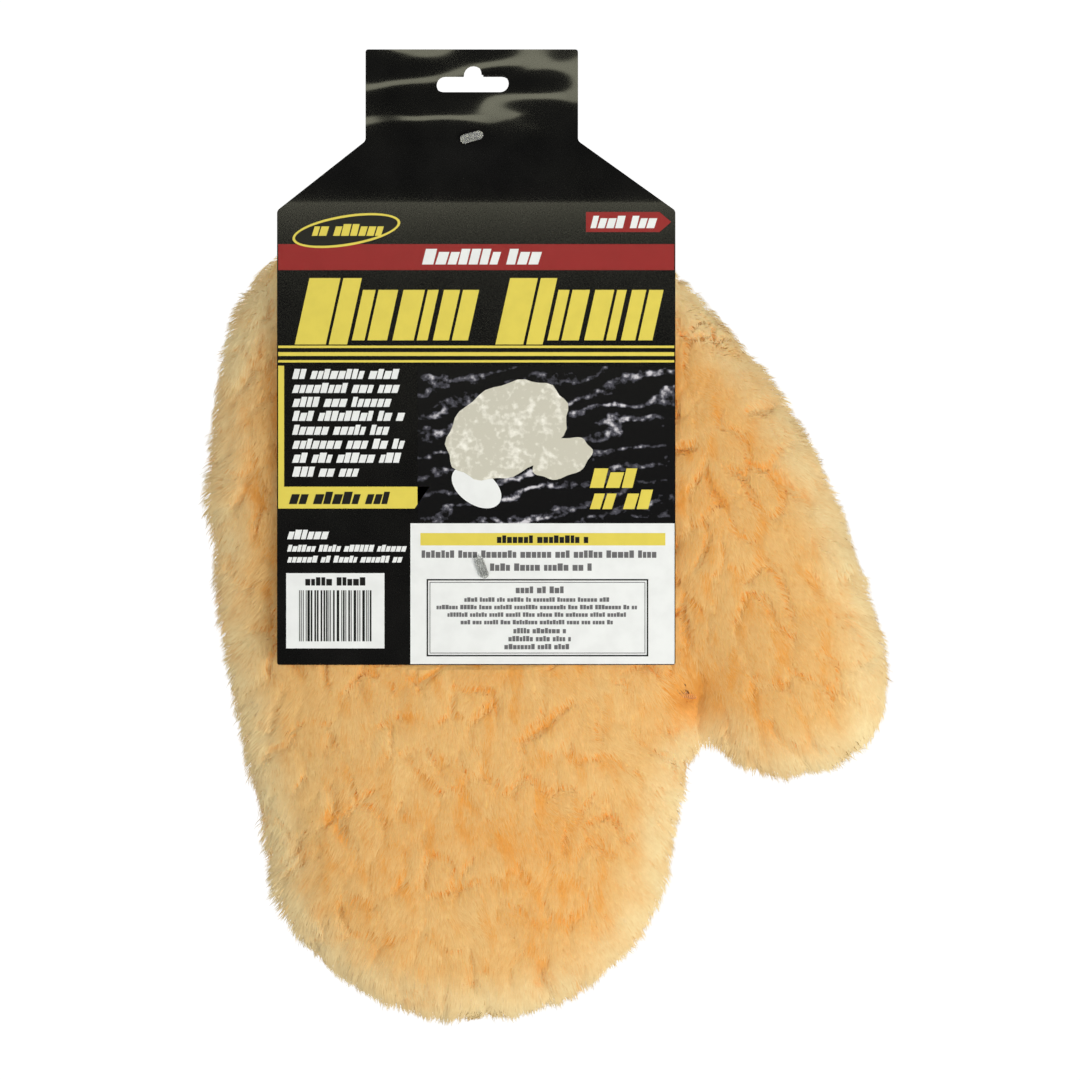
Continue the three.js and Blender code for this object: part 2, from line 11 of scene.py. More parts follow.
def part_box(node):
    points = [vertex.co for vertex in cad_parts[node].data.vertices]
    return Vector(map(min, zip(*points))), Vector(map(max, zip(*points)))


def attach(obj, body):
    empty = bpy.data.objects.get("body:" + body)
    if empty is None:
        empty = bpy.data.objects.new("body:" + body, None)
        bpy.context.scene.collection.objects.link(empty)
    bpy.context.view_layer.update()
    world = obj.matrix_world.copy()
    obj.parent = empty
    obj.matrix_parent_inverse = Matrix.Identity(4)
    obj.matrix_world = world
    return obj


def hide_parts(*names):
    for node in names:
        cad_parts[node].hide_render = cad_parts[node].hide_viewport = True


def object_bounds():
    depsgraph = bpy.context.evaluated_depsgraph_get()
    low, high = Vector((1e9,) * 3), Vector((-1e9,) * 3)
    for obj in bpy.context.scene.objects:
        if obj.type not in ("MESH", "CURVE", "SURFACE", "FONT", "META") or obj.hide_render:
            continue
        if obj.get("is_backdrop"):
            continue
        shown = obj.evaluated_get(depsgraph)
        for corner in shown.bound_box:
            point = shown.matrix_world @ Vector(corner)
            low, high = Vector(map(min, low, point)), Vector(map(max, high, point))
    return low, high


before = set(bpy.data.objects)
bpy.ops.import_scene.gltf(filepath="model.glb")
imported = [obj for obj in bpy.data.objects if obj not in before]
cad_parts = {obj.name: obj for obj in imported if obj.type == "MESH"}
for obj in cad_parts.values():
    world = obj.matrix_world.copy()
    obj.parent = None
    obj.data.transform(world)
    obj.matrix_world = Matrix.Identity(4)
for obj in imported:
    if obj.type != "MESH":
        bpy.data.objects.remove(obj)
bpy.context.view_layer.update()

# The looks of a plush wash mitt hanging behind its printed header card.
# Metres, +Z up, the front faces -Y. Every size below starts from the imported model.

MM = 0.001
SCENE = bpy.context.scene

CARD_LO, CARD_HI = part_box("header_card")
CARD_FRONT = CARD_LO.y
CARD_BACK = -CARD_FRONT
FRONT_LO, FRONT_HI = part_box("front_pile")
REAR_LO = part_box("rear_pile")[0]
BARTACK_LO, BARTACK_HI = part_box("thumb_bartack")
BARTACK = (BARTACK_LO + BARTACK_HI) / 2
SEAM_PLANE = (FRONT_HI.y + REAR_LO.y) / 2

# The pile: a body of packed fibre, and the loose ends that stand on it.
VOXEL = 4.8 * MM
SWELL = 2.0 * MM
CLOTH_PRESSURE = 4
CLOTH_FRAMES = 20
LOOSE_END = 0.5 * MM
SEAM_OVERLAP = 2.2 * MM
TUFT_SPACING = 10.0 * MM
TUFT_RELIEF = 2.0 * MM
PARTING_WIDTH = 1.1 * MM
RIM_WIDTH = 17.0 * MM
CARD_GAP = 0.35 * MM
CARD_EDGE_GAP = 0.3 * MM
CARD_EDGE_RISE = 1.4
THUMB_STARTS = -12 * MM
THUMB_IN_FULL = 22 * MM
STRAND_LENGTH = 5.6 * MM
STRAND_WIDTH = 0.3 * MM
STRANDS_PER_PIECE = 39000
FRONT_STRAND_PIECES = 3
REAR_STRAND_PIECES = 2


def srgb(red, green, blue):
    """A colour as a person reads it, 0 to 255, as the linear light that a shader takes."""
    shares = [value / 255 for value in (red, green, blue)]
    return [s / 12.92 if s <= 0.04045 else ((s + 0.055) / 1.055) ** 2.4 for s in shares]


def smooth_step(low, high, value):
    """0 below low, 1 above high, and an even curve between."""
    t = np.clip((value - low) / (high - low), 0, 1)
    return t * t * (3 - 2 * t)


def unit(vectors):
    """Each row at length 1."""
    return vectors / np.maximum(np.linalg.norm(vectors, axis=1, keepdims=True), 1e-12)


def ripple(points, wavelength, seed, waves=8):
    """A smooth random field of about -1 to 1: a few sine waves in random directions."""
    dice = np.random.default_rng(seed)
    total = np.zeros(len(points))
    for _ in range(waves):
        way = unit(dice.normal(size=(1, 3)))[0]
        length = wavelength * dice.uniform(0.7, 1.5)
        total += np.sin(points @ way * math.tau / length + dice.uniform(0, math.tau))
    return total / math.sqrt(waves / 2)


# ---- meshes ----


def mesh_object(name, points, faces):
    """A smooth-shaded object from points, and from faces with the same number of corners each."""
    faces = np.asarray(faces, np.int32)
    corners = faces.shape[1]
    mesh = bpy.data.meshes.new(name)
    mesh.vertices.add(len(points))
    mesh.vertices.foreach_set("co", np.asarray(points, np.float32).ravel())
    mesh.loops.add(faces.size)
    mesh.loops.foreach_set("vertex_index", faces.ravel())
    mesh.polygons.add(len(faces))
    starts = np.arange(0, faces.size, corners, dtype=np.int32)
    mesh.polygons.foreach_set("loop_start", starts)
    mesh.polygons.foreach_set("use_smooth", np.ones(len(faces), bool))
    mesh.update(calc_edges=True)
    made = bpy.data.objects.new(name, mesh)
    SCENE.collection.objects.link(made)
    return made


def points_of(mesh):
    """The places of a mesh's points, one row each."""
    points = np.zeros(len(mesh.vertices) * 3)
    mesh.vertices.foreach_get("co", points)
    return points.reshape(-1, 3)


def normals_of(mesh):
    """The way out of the surface at each point of a mesh."""
    normals = np.zeros(len(mesh.vertices) * 3)
    mesh.vertices.foreach_get("normal", normals)
    return normals.reshape(-1, 3)


def move_points(mesh, points):
    """Puts a mesh's points at new places."""
    mesh.vertices.foreach_set("co", points.astype(np.float32).ravel())
    mesh.update()


def paint(mesh, colours):
    """Stores a colour for each point, which the materials read as "tint"."""
    layer = mesh.color_attributes.new("tint", "FLOAT_COLOR", "POINT")
    values = np.ones((len(mesh.vertices), 4))
    values[:, :3] = colours
    layer.data.foreach_set("color", values.astype(np.float32).ravel())


def copy_of(node, name):
    """A new object with the shape of a CAD node."""
    made = bpy.data.objects.new(name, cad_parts[node].data.copy())
    made.data.materials.clear()
    SCENE.collection.objects.link(made)
    return made


def apply_modifiers(made):
    """Turns what the modifiers show into the object's own mesh."""
    graph = bpy.context.evaluated_depsgraph_get()
    mesh = bpy.data.meshes.new_from_object(made.evaluated_get(graph))
    made.modifiers.clear()
    made.data = mesh


def remesh(made, voxel):
    """Covers the shape with even small faces."""
    even = made.modifiers.new("even", "REMESH")
    even.mode = "VOXEL"
    even.voxel_size = voxel
    apply_modifiers(made)


def subdivide(made, levels, kind="CATMULL_CLARK"):
    """Splits each face into four, once for each level. The kind SIMPLE keeps the shape."""
    finer = made.modifiers.new("finer", "SUBSURF")
    finer.subdivision_type = kind
    finer.levels = levels
    finer.render_levels = levels
    apply_modifiers(made)


def surface_of(node):
    """Something to measure distances from a CAD node with."""
    shape = bmesh.new()
    shape.from_mesh(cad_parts[node].data)
    tree = BVHTree.FromBMesh(shape)
    shape.free()
    return tree


def distance_from(tree, points):
    """How far each point is from the nearest place on a surface."""
    return np.array([tree.find_nearest(Vector(point))[3] for point in points])


def add_piece(made, body, slot, material, *nodes):
    """Gives a finished piece its material, its body and the CAD nodes that it stands for."""
    made.data.materials.clear()
    made.data.materials.append(material)
    if nodes:
        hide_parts(*nodes)
    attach(made, body)


def finish_node(node, material):
    """Keeps a CAD node as it is, with a finished material."""
    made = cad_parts[node]
    made.data.materials.clear()
    made.data.materials.append(material)


# ---- materials ----


class Finish:
    """A material with one Principled shader, and short ways to add nodes to it."""

    def __init__(self, name, **values):
        """Each value goes on the shader's own socket of that name."""
        self.material = bpy.data.materials.new(name)
        self.material.use_nodes = True
        self.nodes = self.material.node_tree.nodes
        self.links = self.material.node_tree.links
        self.shader = self.nodes["Principled BSDF"]
        for label, value in values.items():
            self.shader.inputs[label.replace("_", " ")].default_value = value

    def add(self, kind, inputs=None, **settings):
        """A new node: its inputs are other nodes' outputs or plain values."""
        node = self.nodes.new("ShaderNode" + kind)
        for label, value in settings.items():
            setattr(node, label, value)
        for label, value in (inputs or {}).items():
            if hasattr(value, "is_output"):
                self.links.new(value, node.inputs[label])
            else:
                node.inputs[label].default_value = value
        return node

    def place(self, scale=(1, 1, 1)):
        """The place on the object, stretched by scale."""
        where = self.add("TexCoord").outputs["Object"]
        return self.add("Mapping", {"Vector": where, "Scale": scale}).outputs["Vector"]

    def noise(self, scale, detail=3, place=None):
        """A random field: scale is about how many spots it has in a metre."""
        inputs = {"Vector": place or self.place(), "Scale": scale, "Detail": detail}
        return self.add("TexNoise", inputs).outputs["Fac"]

    def wave(self, scale, distortion, bands, place=None, **inputs):
        """Bands across the object along the named direction, bent by the distortion."""
        inputs = {label.replace("_", " "): value for label, value in inputs.items()}
        inputs.update({"Vector": place or self.place(), "Scale": scale, "Distortion": distortion})
        return self.add("TexWave", inputs, bands_direction=bands).outputs["Fac"]

    def combine(self, way, first, second):
        """Two fields added or multiplied."""
        return self.add("Math", {0: first, 1: second}, operation=way).outputs[0]

    def tint(self):
        """The colours stored by paint."""
        return self.add("VertexColor", layer_name="tint").outputs["Color"]

    def ramp(self, amount, *stops):
        """A colour for each amount: stops are (amount, colour)."""
        node = self.add("ValToRGB", {"Fac": amount})
        band = node.color_ramp
        while len(band.elements) < len(stops):
            band.elements.new(0.5)
        for element, (at, colour) in zip(band.elements, stops):
            element.position = at
            element.color = (*colour, 1)
        return node.outputs["Color"]

    def blend(self, amount, low, high, way="MIX"):
        """Low where amount is 0 and high where it is 1, or one colour times the other."""
        node = self.add("Mix", data_type="RGBA", blend_type=way)
        for socket, value in ((0, amount), (6, low), (7, high)):
            if hasattr(value, "is_output"):
                self.links.new(value, node.inputs[socket])
            elif socket:
                node.inputs[socket].default_value = (*value, 1)
            else:
                node.inputs[socket].default_value = value
        return node.outputs[2]

    def range(self, amount, low, high, start=0.0, end=1.0):
        """Low at start and high at end, with an even curve between."""
        inputs = {"Value": amount, "From Min": start, "From Max": end, "To Min": low, "To Max": high}
        return self.add("MapRange", inputs, interpolation_type="SMOOTHSTEP").outputs["Result"]

    def bump(self, height, depth, strength=1.0, normal=None):
        """Small relief from a height between 0 and 1, on top of another relief if given."""
        inputs = {"Height": height, "Distance": depth, "Strength": strength}
        if normal:
            inputs["Normal"] = normal
        return self.add("Bump", inputs).outputs["Normal"]

    def use(self, **sockets):
        """Joins outputs to the shader and hands over the finished material."""
        for label, value in sockets.items():
            self.links.new(value, self.shader.inputs[label.replace("_", " ")])
        return self.material


CREAM = srgb(250, 230, 176)
PALE_HONEY = srgb(246, 206, 138)
HONEY = srgb(240, 190, 118)
AMBER = srgb(242, 168, 76)


def packed_fibre():
    """The body of the pile: the painted tint, fine fibre streaks down the nap, and a soft sheen."""
    finish = Finish("packed_fibre", Roughness=0.9, Specular_IOR_Level=0.15,
                    Sheen_Weight=0.25, Sheen_Roughness=0.6, Sheen_Tint=(*PALE_HONEY, 1),
                    Subsurface_Weight=0.25, Subsurface_Radius=(1.0, 0.5, 0.2), Subsurface_Scale=4 * MM)
    streaks = finish.noise(900, 3, finish.place((1, 1, 0.22)))
    shade = finish.ramp(streaks, (0.3, srgb(226, 214, 200)), (0.7, srgb(255, 255, 255)))
    colour = finish.blend(0.6, finish.tint(), shade, "MULTIPLY")
    return finish.use(Base_Color=colour, Normal=finish.bump(streaks, 0.5 * MM, 0.6))


def loose_fibre():
    """The standing ends: the painted tint from root to tip, each with its own slight shade."""
    finish = Finish("loose_fibre", Roughness=0.75, Specular_IOR_Level=0.2,
                    Sheen_Weight=0.3, Sheen_Roughness=0.5, Sheen_Tint=(*CREAM, 1))
    shade = finish.ramp(finish.noise(420, 2), (0.3, srgb(240, 230, 218)), (0.7, srgb(255, 255, 255)))
    return finish.use(Base_Color=finish.blend(0.7, finish.tint(), shade, "MULTIPLY"))


# ---- the pile ----


def thumb_share(points):
    """0 on the palm and 1 on the thumb, with an even change at the crotch between them."""
    return smooth_step(THUMB_STARTS, THUMB_IN_FULL, points[:, 0] - BARTACK.x)


def nap_way(points):
    """Which way the pile lies: down the palm, and down and outward on the thumb."""
    thumb = thumb_share(points)
    middle = (FRONT_LO.x + BARTACK.x) / 2
    spread = (points[:, 0] - middle) / (BARTACK.x - middle) * 0.18 * (1 - thumb)
    return unit(np.stack([spread + 0.5 * thumb, np.zeros(len(points)), -np.ones(len(points))], 1))


def tuft_space(points):
    """Where a point lies in a space where the tufts are round. They are longer along the nap."""
    away = points - np.array(BARTACK)
    lie = nap_way(points)
    along = (away * lie).sum(1)
    shrink = 0.22 + 0.2 * thumb_share(points)
    bent = away - lie * (along * shrink)[:, None]
    warp = [ripple(points, 17 * MM, seed) for seed in (1, 2, 3)]
    return bent + 1.7 * MM * np.stack(warp, 1)


def scatter_tufts(points, dice):
    """Picks tuft centres among the points, no two closer than the spacing."""
    spots = tuft_space(points)
    chosen = []
    places = np.zeros((len(points), 3))
    for index in dice.permutation(len(points)):
        near = spots[index] - places[: len(chosen)]
        gap = TUFT_SPACING * dice.uniform(0.75, 1.15)
        if not len(chosen) or (near * near).sum(1).min() > gap * gap:
            places[len(chosen)] = spots[index]
            chosen.append(index)
    return points[chosen]


def search_tree(points):
    """Finds the nearest of many points quickly."""
    tree = KDTree(len(points))
    for index, point in enumerate(points):
        tree.insert(point, index)
    tree.balance()
    return tree


class Tufts:
    """The tufts of the whole mitt and its outline, and what any point on it sees of them."""

    def __init__(self, centres, outline):
        """Centres are the tufts' middles, and outline is points all round the mitt's edge."""
        self.centres = centres
        self.spots = tuft_space(centres)
        self.tree = search_tree(self.spots)
        self.outline = search_tree(outline * np.array((1, 0, 1)))

    def rim(self, points):
        """1 at the mitt's outline as seen from the front, falling to 0 well inside it."""
        away = [self.outline.find((x, 0, z))[2] for x, _, z in points]
        return smooth_step(RIM_WIDTH, 1 * MM, np.array(away))

    def read(self, points):
        """For each point: its tuft, how far into an open parting it is, and how far off centre."""
        spots = tuft_space(points)
        pairs = [self.tree.find_n(spot, 2) for spot in spots]
        first = np.array([pair[0][1] for pair in pairs])
        second = np.array([pair[1][1] for pair in pairs])
        near = np.array([pair[0][2] for pair in pairs])
        far = np.array([pair[1][2] for pair in pairs])
        apart = np.linalg.norm(self.spots[first] - self.spots[second], axis=1)
        border = (far**2 - near**2) / (2 * apart)
        low, high = np.minimum(first, second), np.maximum(first, second)
        luck = np.modf(np.abs(np.sin(low * 12.9898 + high * 78.233) * 43758.5453))[0]
        luck = luck + 0.25 * ripple(points, 21 * MM, 9) + 0.12 * thumb_share(points)
        openness = 0.12 + 0.88 * smooth_step(0.45, 0.95, luck)
        parting = openness * np.exp(-((border / PARTING_WIDTH) ** 2))
        return first, parting, np.clip(near / TUFT_SPACING, 0, 1)


def card_clearance(points):
    """How far outside the card's body each point is, seen from the front, and below 0 inside it."""
    side = np.maximum(CARD_LO.x - points[:, 0], points[:, 0] - CARD_HI.x)
    below = CARD_LO.z - points[:, 2]
    return np.maximum(side, below)


def keep_behind_card(points):
    """Presses what lies under the card back behind it, rising again just outside its edges."""
    rise = np.maximum(card_clearance(points) - CARD_EDGE_GAP, 0)
    limit = CARD_BACK + CARD_GAP - rise * CARD_EDGE_RISE
    in_front = points[:, 1] < SEAM_PLANE
    pressed = points.copy()
    pressed[in_front, 1] = np.maximum(points[in_front, 1], limit[in_front])
    return pressed


def swell(made, held):
    """Rounds the pile out as air under a cloth skin would, and moves no point over the cap."""
    before = points_of(made.data)
    group = made.vertex_groups.new(name="held")
    group.add(np.flatnonzero(held).tolist(), 1.0, "REPLACE")
    cloth = made.modifiers.new("cloth", "CLOTH")
    cloth.settings.use_pressure = True
    cloth.settings.uniform_pressure_force = CLOTH_PRESSURE
    cloth.settings.vertex_group_mass = "held"
    cloth.settings.effector_weights.gravity = 0
    for step in range(1, CLOTH_FRAMES + 1):
        SCENE.frame_set(step)
    graph = bpy.context.evaluated_depsgraph_get()
    after = points_of(made.evaluated_get(graph).data)
    made.modifiers.clear()
    SCENE.frame_set(1)
    move = after - before
    far = np.linalg.norm(move, axis=1, keepdims=True)
    move_points(made.data, before + move * SWELL / (SWELL + far))


def outer_share(points, normals, backing):
    """1 on the outside of the pile, and 0 where it meets the backing or the other half."""
    clear = smooth_step(1.5 * MM, 4 * MM, distance_from(backing, points))
    toward = np.sign(SEAM_PLANE - points[:, 1].mean())
    flat = (toward * (points[:, 1] - SEAM_PLANE) > -1.2 * MM) & (np.abs(normals[:, 1]) > 0.6)
    return np.where(flat, 0, clear)


def pile_body(node, backing_node):
    """One half of the pile before its tufts: even faces, drawn in, then swollen as cloth."""
    made = copy_of(node, node + "_body")
    remesh(made, VOXEL)
    backing = surface_of(backing_node)
    points = points_of(made.data)
    toward = np.sign(SEAM_PLANE - points[:, 1].mean())
    near_seam = smooth_step(5 * MM, 0, np.abs(points[:, 1] - SEAM_PLANE))
    points[:, 1] += toward * SEAM_OVERLAP * near_seam
    move_points(made.data, points)
    normals = normals_of(made.data)
    outside = outer_share(points, normals, backing)
    drawn_in = LOOSE_END + ((SWELL / 2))
    move_points(made.data, points - normals * (outside * drawn_in)[:, None])
    swell(made, outside < 0.5)
    subdivide(made, 2)
    points, normals = points_of(made.data), normals_of(made.data)
    return made, outer_share(points, normals, backing)


def tint_of(points, rim, parting, tuft, height):
    """The colour of fibre at a height from 0 at the root to 1 at the tip, with painted shade in the
    partings and at the thumb tack, and a painted rim light.
    """
    tuft_shade = np.modf(np.abs(np.sin(tuft * 91.7) * 137.3))[0]
    patch = 0.5 + 0.25 * ripple(points, 60 * MM, 5) + 0.2 * ripple(points, 9 * MM, 6)
    light = np.clip(0.15 + 0.55 * height + 0.3 * patch + 0.16 * (tuft_shade - 0.5), 0, 1)
    fleck = smooth_step(0.6, 1.5, ripple(points * np.array((1, 1, 0.55)), 7 * MM, 15))
    from_tack = np.linalg.norm((points - np.array(BARTACK))[:, ::2], axis=1)
    # Painted shade in the dimple round the thumb tack.
    tack_dimple_shade = np.exp(-((from_tack / (8 * MM)) ** 2))
    # Painted shade: darker in the open partings and in the tack dimple; the flecks are random tone.
    light = np.clip(light - 0.9 * parting - 0.3 * fleck - 0.8 * tack_dimple_shade, 0, 1)
    light = light[:, None]
    honey, amber = np.array(HONEY), np.array(AMBER)
    pale, cream = np.array(PALE_HONEY), np.array(CREAM)
    colour = amber + (honey - amber) * np.clip(light * 2, 0, 1)
    colour = colour + (pale - honey) * np.clip(light * 2 - 1, 0, 1)
    # Painted rim light: paler cream towards the outline as seen from the front, less in the partings and
    # the tack dimple.
    painted_rim_glow = np.clip(rim * (0.6 + 0.25 * height + 0.35 * (patch - 0.5)), 0, 1)
    painted_rim_glow = painted_rim_glow * (1 - 0.6 * parting) * (1 - 0.8 * tack_dimple_shade)
    return colour + (cream - colour) * painted_rim_glow[:, None]


def finish_body(made, outside, tufts):
    """Pushes the partings into one half of the pile and paints it."""
    points, normals = points_of(made.data), normals_of(made.data)
    tuft, parting, off_centre = tufts.read(points)
    dome = 0.35 * off_centre**2
    shape = points - normals * (outside * TUFT_RELIEF * (parting + dome))[:, None]
    move_points(made.data, keep_behind_card(shape))
    rim = tufts.rim(points)
    paint(made.data, tint_of(points, rim, parting, tuft, np.full(len(points), 0.5)))


def root_points(made, outside, count, dice):
    """Random places on the outside of one half of the pile, with the way out from each."""
    mesh = made.data
    mesh.calc_loop_triangles()
    corners = np.zeros(len(mesh.loop_triangles) * 3, np.int32)
    mesh.loop_triangles.foreach_get("vertices", corners)
    corners = corners.reshape(-1, 3)
    corners = corners[outside[corners].min(1) > 0.3]
    points, normals = points_of(mesh), normals_of(mesh)
    a, b, c = (points[corners[:, k]] for k in range(3))
    area = np.linalg.norm(np.cross(b - a, c - a), axis=1)
    pick = dice.choice(len(corners), count, p=area / area.sum())
    share = dice.dirichlet((1, 1, 1), count)
    roots = (points[corners[pick]] * share[:, :, None]).sum(1)
    ways = unit((normals[corners[pick]] * share[:, :, None]).sum(1))
    return roots, ways


def strand_paths(roots, ways, tufts, dice):
    """Four levels of each strand from root to tip, with its tuft and parting."""
    count = len(roots)
    tuft, parting, off_centre = tufts.read(roots)
    lie = nap_way(roots)
    lie = lie - ways * (lie * ways).sum(1)[:, None]
    gather = unit(tufts.centres[tuft] - roots)
    gather = gather - ways * (gather * ways).sum(1)[:, None]
    drift = np.stack([ripple(roots, 26 * MM, seed) for seed in (11, 12, 13)], 1)
    stray = dice.normal(size=(count, 3))
    rim = smooth_step(0.3, 0.9, 1 - np.abs(ways[:, 1]))
    start = unit(ways + (0.3 + 0.5 * rim)[:, None] * lie + 0.06 * stray)
    end = unit((0.42 - 0.26 * rim)[:, None] * ways + 0.8 * lie + 0.4 * gather * off_centre[:, None]
               + 0.25 * drift + 0.11 * stray)
    length = STRAND_LENGTH * dice.uniform(0.65, 1.15, count) * (1 - 0.55 * parting)
    under_card = smooth_step(6 * MM, -1 * MM, card_clearance(roots)) * (roots[:, 1] < SEAM_PLANE)
    length = length * (1 - 0.45 * under_card) * (1 - 0.3 * rim)
    levels = []
    for t in (0, 0.35, 0.7, 1):
        curve = start * (t - t * t / 2) + end * (t * t / 2)
        levels.append(keep_behind_card(roots + curve * (length * 1.15)[:, None]))
    return levels, tuft, parting


def strand_piece(name, roots, ways, tufts, dice):
    """A mesh of flat tapered strands, each seven points and five faces."""
    count = len(roots)
    levels, tuft, parting = strand_paths(roots, ways, tufts, dice)
    rim = tufts.rim(roots)
    along = unit(levels[3] - levels[0])
    side = np.clip((roots[:, 1] - SEAM_PLANE) / (5 * MM), -1, 1)
    shown = unit(ways + 0.7 * side[:, None] * np.array((0, 1, 0)))
    across = unit(np.cross(along, shown) + 0.25 * dice.normal(size=(count, 3)))
    across = across * np.sign((np.cross(across, along) * shown).sum(1))[:, None]
    width = STRAND_WIDTH * dice.uniform(0.7, 1.3, count)[:, None]
    points = np.zeros((count, 7, 3))
    colours = np.zeros((count, 7, 3))
    luck = dice.uniform(-0.08, 0.08, count)
    for level, (share, height) in enumerate(((1.0, 0.0), (0.9, 0.4), (0.6, 0.75))):
        points[:, 2 * level] = levels[level] - across * width * share / 2
        points[:, 2 * level + 1] = levels[level] + across * width * share / 2
        tint = tint_of(roots, rim, parting * (1 - 0.4 * height), tuft, height + luck)
        colours[:, 2 * level] = tint
        colours[:, 2 * level + 1] = tint
    points[:, 6] = levels[3]
    colours[:, 6] = tint_of(roots, rim, parting * 0.6, tuft, 1 + luck)
    pattern = np.array([(0, 1, 3), (0, 3, 2), (2, 3, 5), (2, 5, 4), (4, 5, 6)])
    faces = (np.arange(count)[:, None, None] * 7 + pattern).reshape(-1, 3)
    made = mesh_object(name, points.reshape(-1, 3), faces)
    paint(made.data, colours.reshape(-1, 3))
    facing = unit(ways * 0.5 + shown * 0.4 + np.cross(across, along) * 0.2)
    made.data.normals_split_custom_set_from_vertices(np.repeat(facing, 7, 0).tolist())
    return made


def let_light_through(piece):
    """Fine fibre scatters light on to its neighbours, so it throws no shadow on them here."""
    piece.visible_shadow = False
    piece.visible_diffuse = False


def build_pile():
    """Both halves of the pile with their tufts and loose ends."""
    dice = np.random.default_rng(20)
    halves = []
    for node, backing in (("front_pile", "front_backing"), ("rear_pile", "rear_backing")):
        halves.append((node, *pile_body(node, backing)))
    everywhere = np.concatenate([points_of(made.data)[outside > 0.5][::3]
                                 for _, made, outside in halves])
    outline = everywhere[np.abs(everywhere[:, 1] - SEAM_PLANE) < 4 * MM]
    tufts = Tufts(scatter_tufts(everywhere, dice), outline)
    fibre, ends = packed_fibre(), loose_fibre()
    counts = {"front_pile": FRONT_STRAND_PIECES, "rear_pile": REAR_STRAND_PIECES}
    for node, made, outside in halves:
        finish_body(made, outside, tufts)
        strands = counts[node] * STRANDS_PER_PIECE
        roots, ways = root_points(made, outside, strands, dice)
        add_piece(made, "mitt", "honey_pile", fibre, node)
        for part in range(counts[node]):
            mine = slice(part * STRANDS_PER_PIECE, (part + 1) * STRANDS_PER_PIECE)
            name = f"{node}_strands_{part + 1}"
            piece = strand_piece(name, roots[mine], ways[mine], tufts, dice)
            add_piece(piece, "mitt", "honey_pile", ends)
            let_light_through(piece)


# ---- threads, cuff and backings ----


def frames_along(path, closed):
    """Two ways square to a path at each of its points, turning no more than they have to."""
    ahead = np.roll(path, -1, 0)
    behind = np.roll(path, 1, 0)
    if not closed:
        ahead[-1] = path[-1]
        behind[0] = path[0]
    along = unit(ahead - behind)
    side = np.zeros_like(path)
    guess = np.array((0.0, 1.0, 0.0)) if abs(along[0][1]) < 0.9 else np.array((1.0, 0.0, 0.0))
    for index, way in enumerate(along):
        guess = guess - way * (guess @ way)
        guess = guess / np.linalg.norm(guess)
        side[index] = guess
    return side, np.cross(along, side)


def ring_faces(rows, count, closed=False):
    """Quads between rows of points, each row a ring. Closed joins the last row to the first."""
    faces = []
    for row in range(rows if closed else rows - 1):
        here, there = row * count, (row + 1) % rows * count
        for j in range(count):
            n = (j + 1) % count
            faces.append((here + j, here + n, there + n, there + j))
    return faces


def tube(path, radius, sides=6, closed=False):
    """Points and faces of a round thread along a path, as quads."""
    path = np.asarray(path, float)
    side, up = frames_along(path, closed)
    turns = np.arange(sides) * math.tau / sides
    ring = side[:, None] * np.cos(turns)[None, :, None] + up[:, None] * np.sin(turns)[None, :, None]
    points = (path[:, None] + ring * radius).reshape(-1, 3)
    return points, ring_faces(len(path), sides, closed)


def even_steps(path, step, closed=False):
    """The same path with points an even distance apart."""
    if closed:
        path = np.vstack([path, path[:1]])
    run = np.concatenate([[0], np.cumsum(np.linalg.norm(np.diff(path, axis=0), axis=1))])
    count = max(int(round(run[-1] / step)), 2)
    marks = np.linspace(0, run[-1], count + 1)
    even = np.stack([np.interp(marks, run, path[:, k]) for k in range(3)], 1)
    return even[:-1] if closed else even


def wound_thread(path, radius, pitch, closed=False, turn_points=10):
    """The line of a thread wound round a path, such as the loops of an overlock seam."""
    even = even_steps(np.asarray(path, float), pitch / turn_points, closed)
    side, up = frames_along(even, closed)
    turn = np.arange(len(even)) * math.tau / turn_points
    out = side * np.cos(turn)[:, None] + up * np.sin(turn)[:, None]
    return even + out * radius


def joined_mesh(name, parts):
    """One object from several sets of points and quads."""
    points, faces, start = [], [], 0
    for part_points, part_faces in parts:
        points.append(part_points)
        faces.append(np.asarray(part_faces) + start)
        start += len(part_points)
    return mesh_object(name, np.vstack(points), np.vstack(faces))


def twisted_thread(name, colour, dark):
    """Sewing thread: fine slanted plies and a soft shine."""
    finish = Finish(name, Roughness=0.6, Sheen_Weight=0.4)
    plies = finish.wave(900, 2.0, "DIAGONAL")
    return finish.use(Base_Color=finish.ramp(plies, (0.2, dark), (0.8, colour)),
                      Normal=finish.bump(plies, 0.1 * MM, 0.5))


def rib_knit():
    """White rib knit: rows of small stitches, with painted shade between the rows and, from the tint,
    between the ribs.
    """
    finish = Finish("rib_knit", Roughness=0.85, Sheen_Weight=0.5, Sheen_Roughness=0.4)
    rows = finish.wave(230, 1.5, "Z", Detail_Scale=3.0)
    height = finish.combine("ADD", rows, finish.noise(1500, 2))
    shade = finish.ramp(rows, (0.1, srgb(214, 212, 204)), (0.6, srgb(255, 255, 255)))
    return finish.use(Base_Color=finish.blend(0.8, finish.tint(), shade, "MULTIPLY"),
                      Normal=finish.bump(height, 0.25 * MM, 0.7))


def backing_knit():
    """The tan knit that the pile grows from: fine wales across rows of loops."""
    finish = Finish("backing_knit", Roughness=0.9, Sheen_Weight=0.3)
    loops = finish.combine("MULTIPLY", finish.wave(260, 0.6, "X"), finish.wave(320, 0.6, "Z"))
    colour = finish.ramp(loops, (0.0, srgb(176, 134, 84)), (0.7, srgb(228, 190, 132)))
    return finish.use(Base_Color=colour, Normal=finish.bump(loops, 0.3 * MM, 0.8))


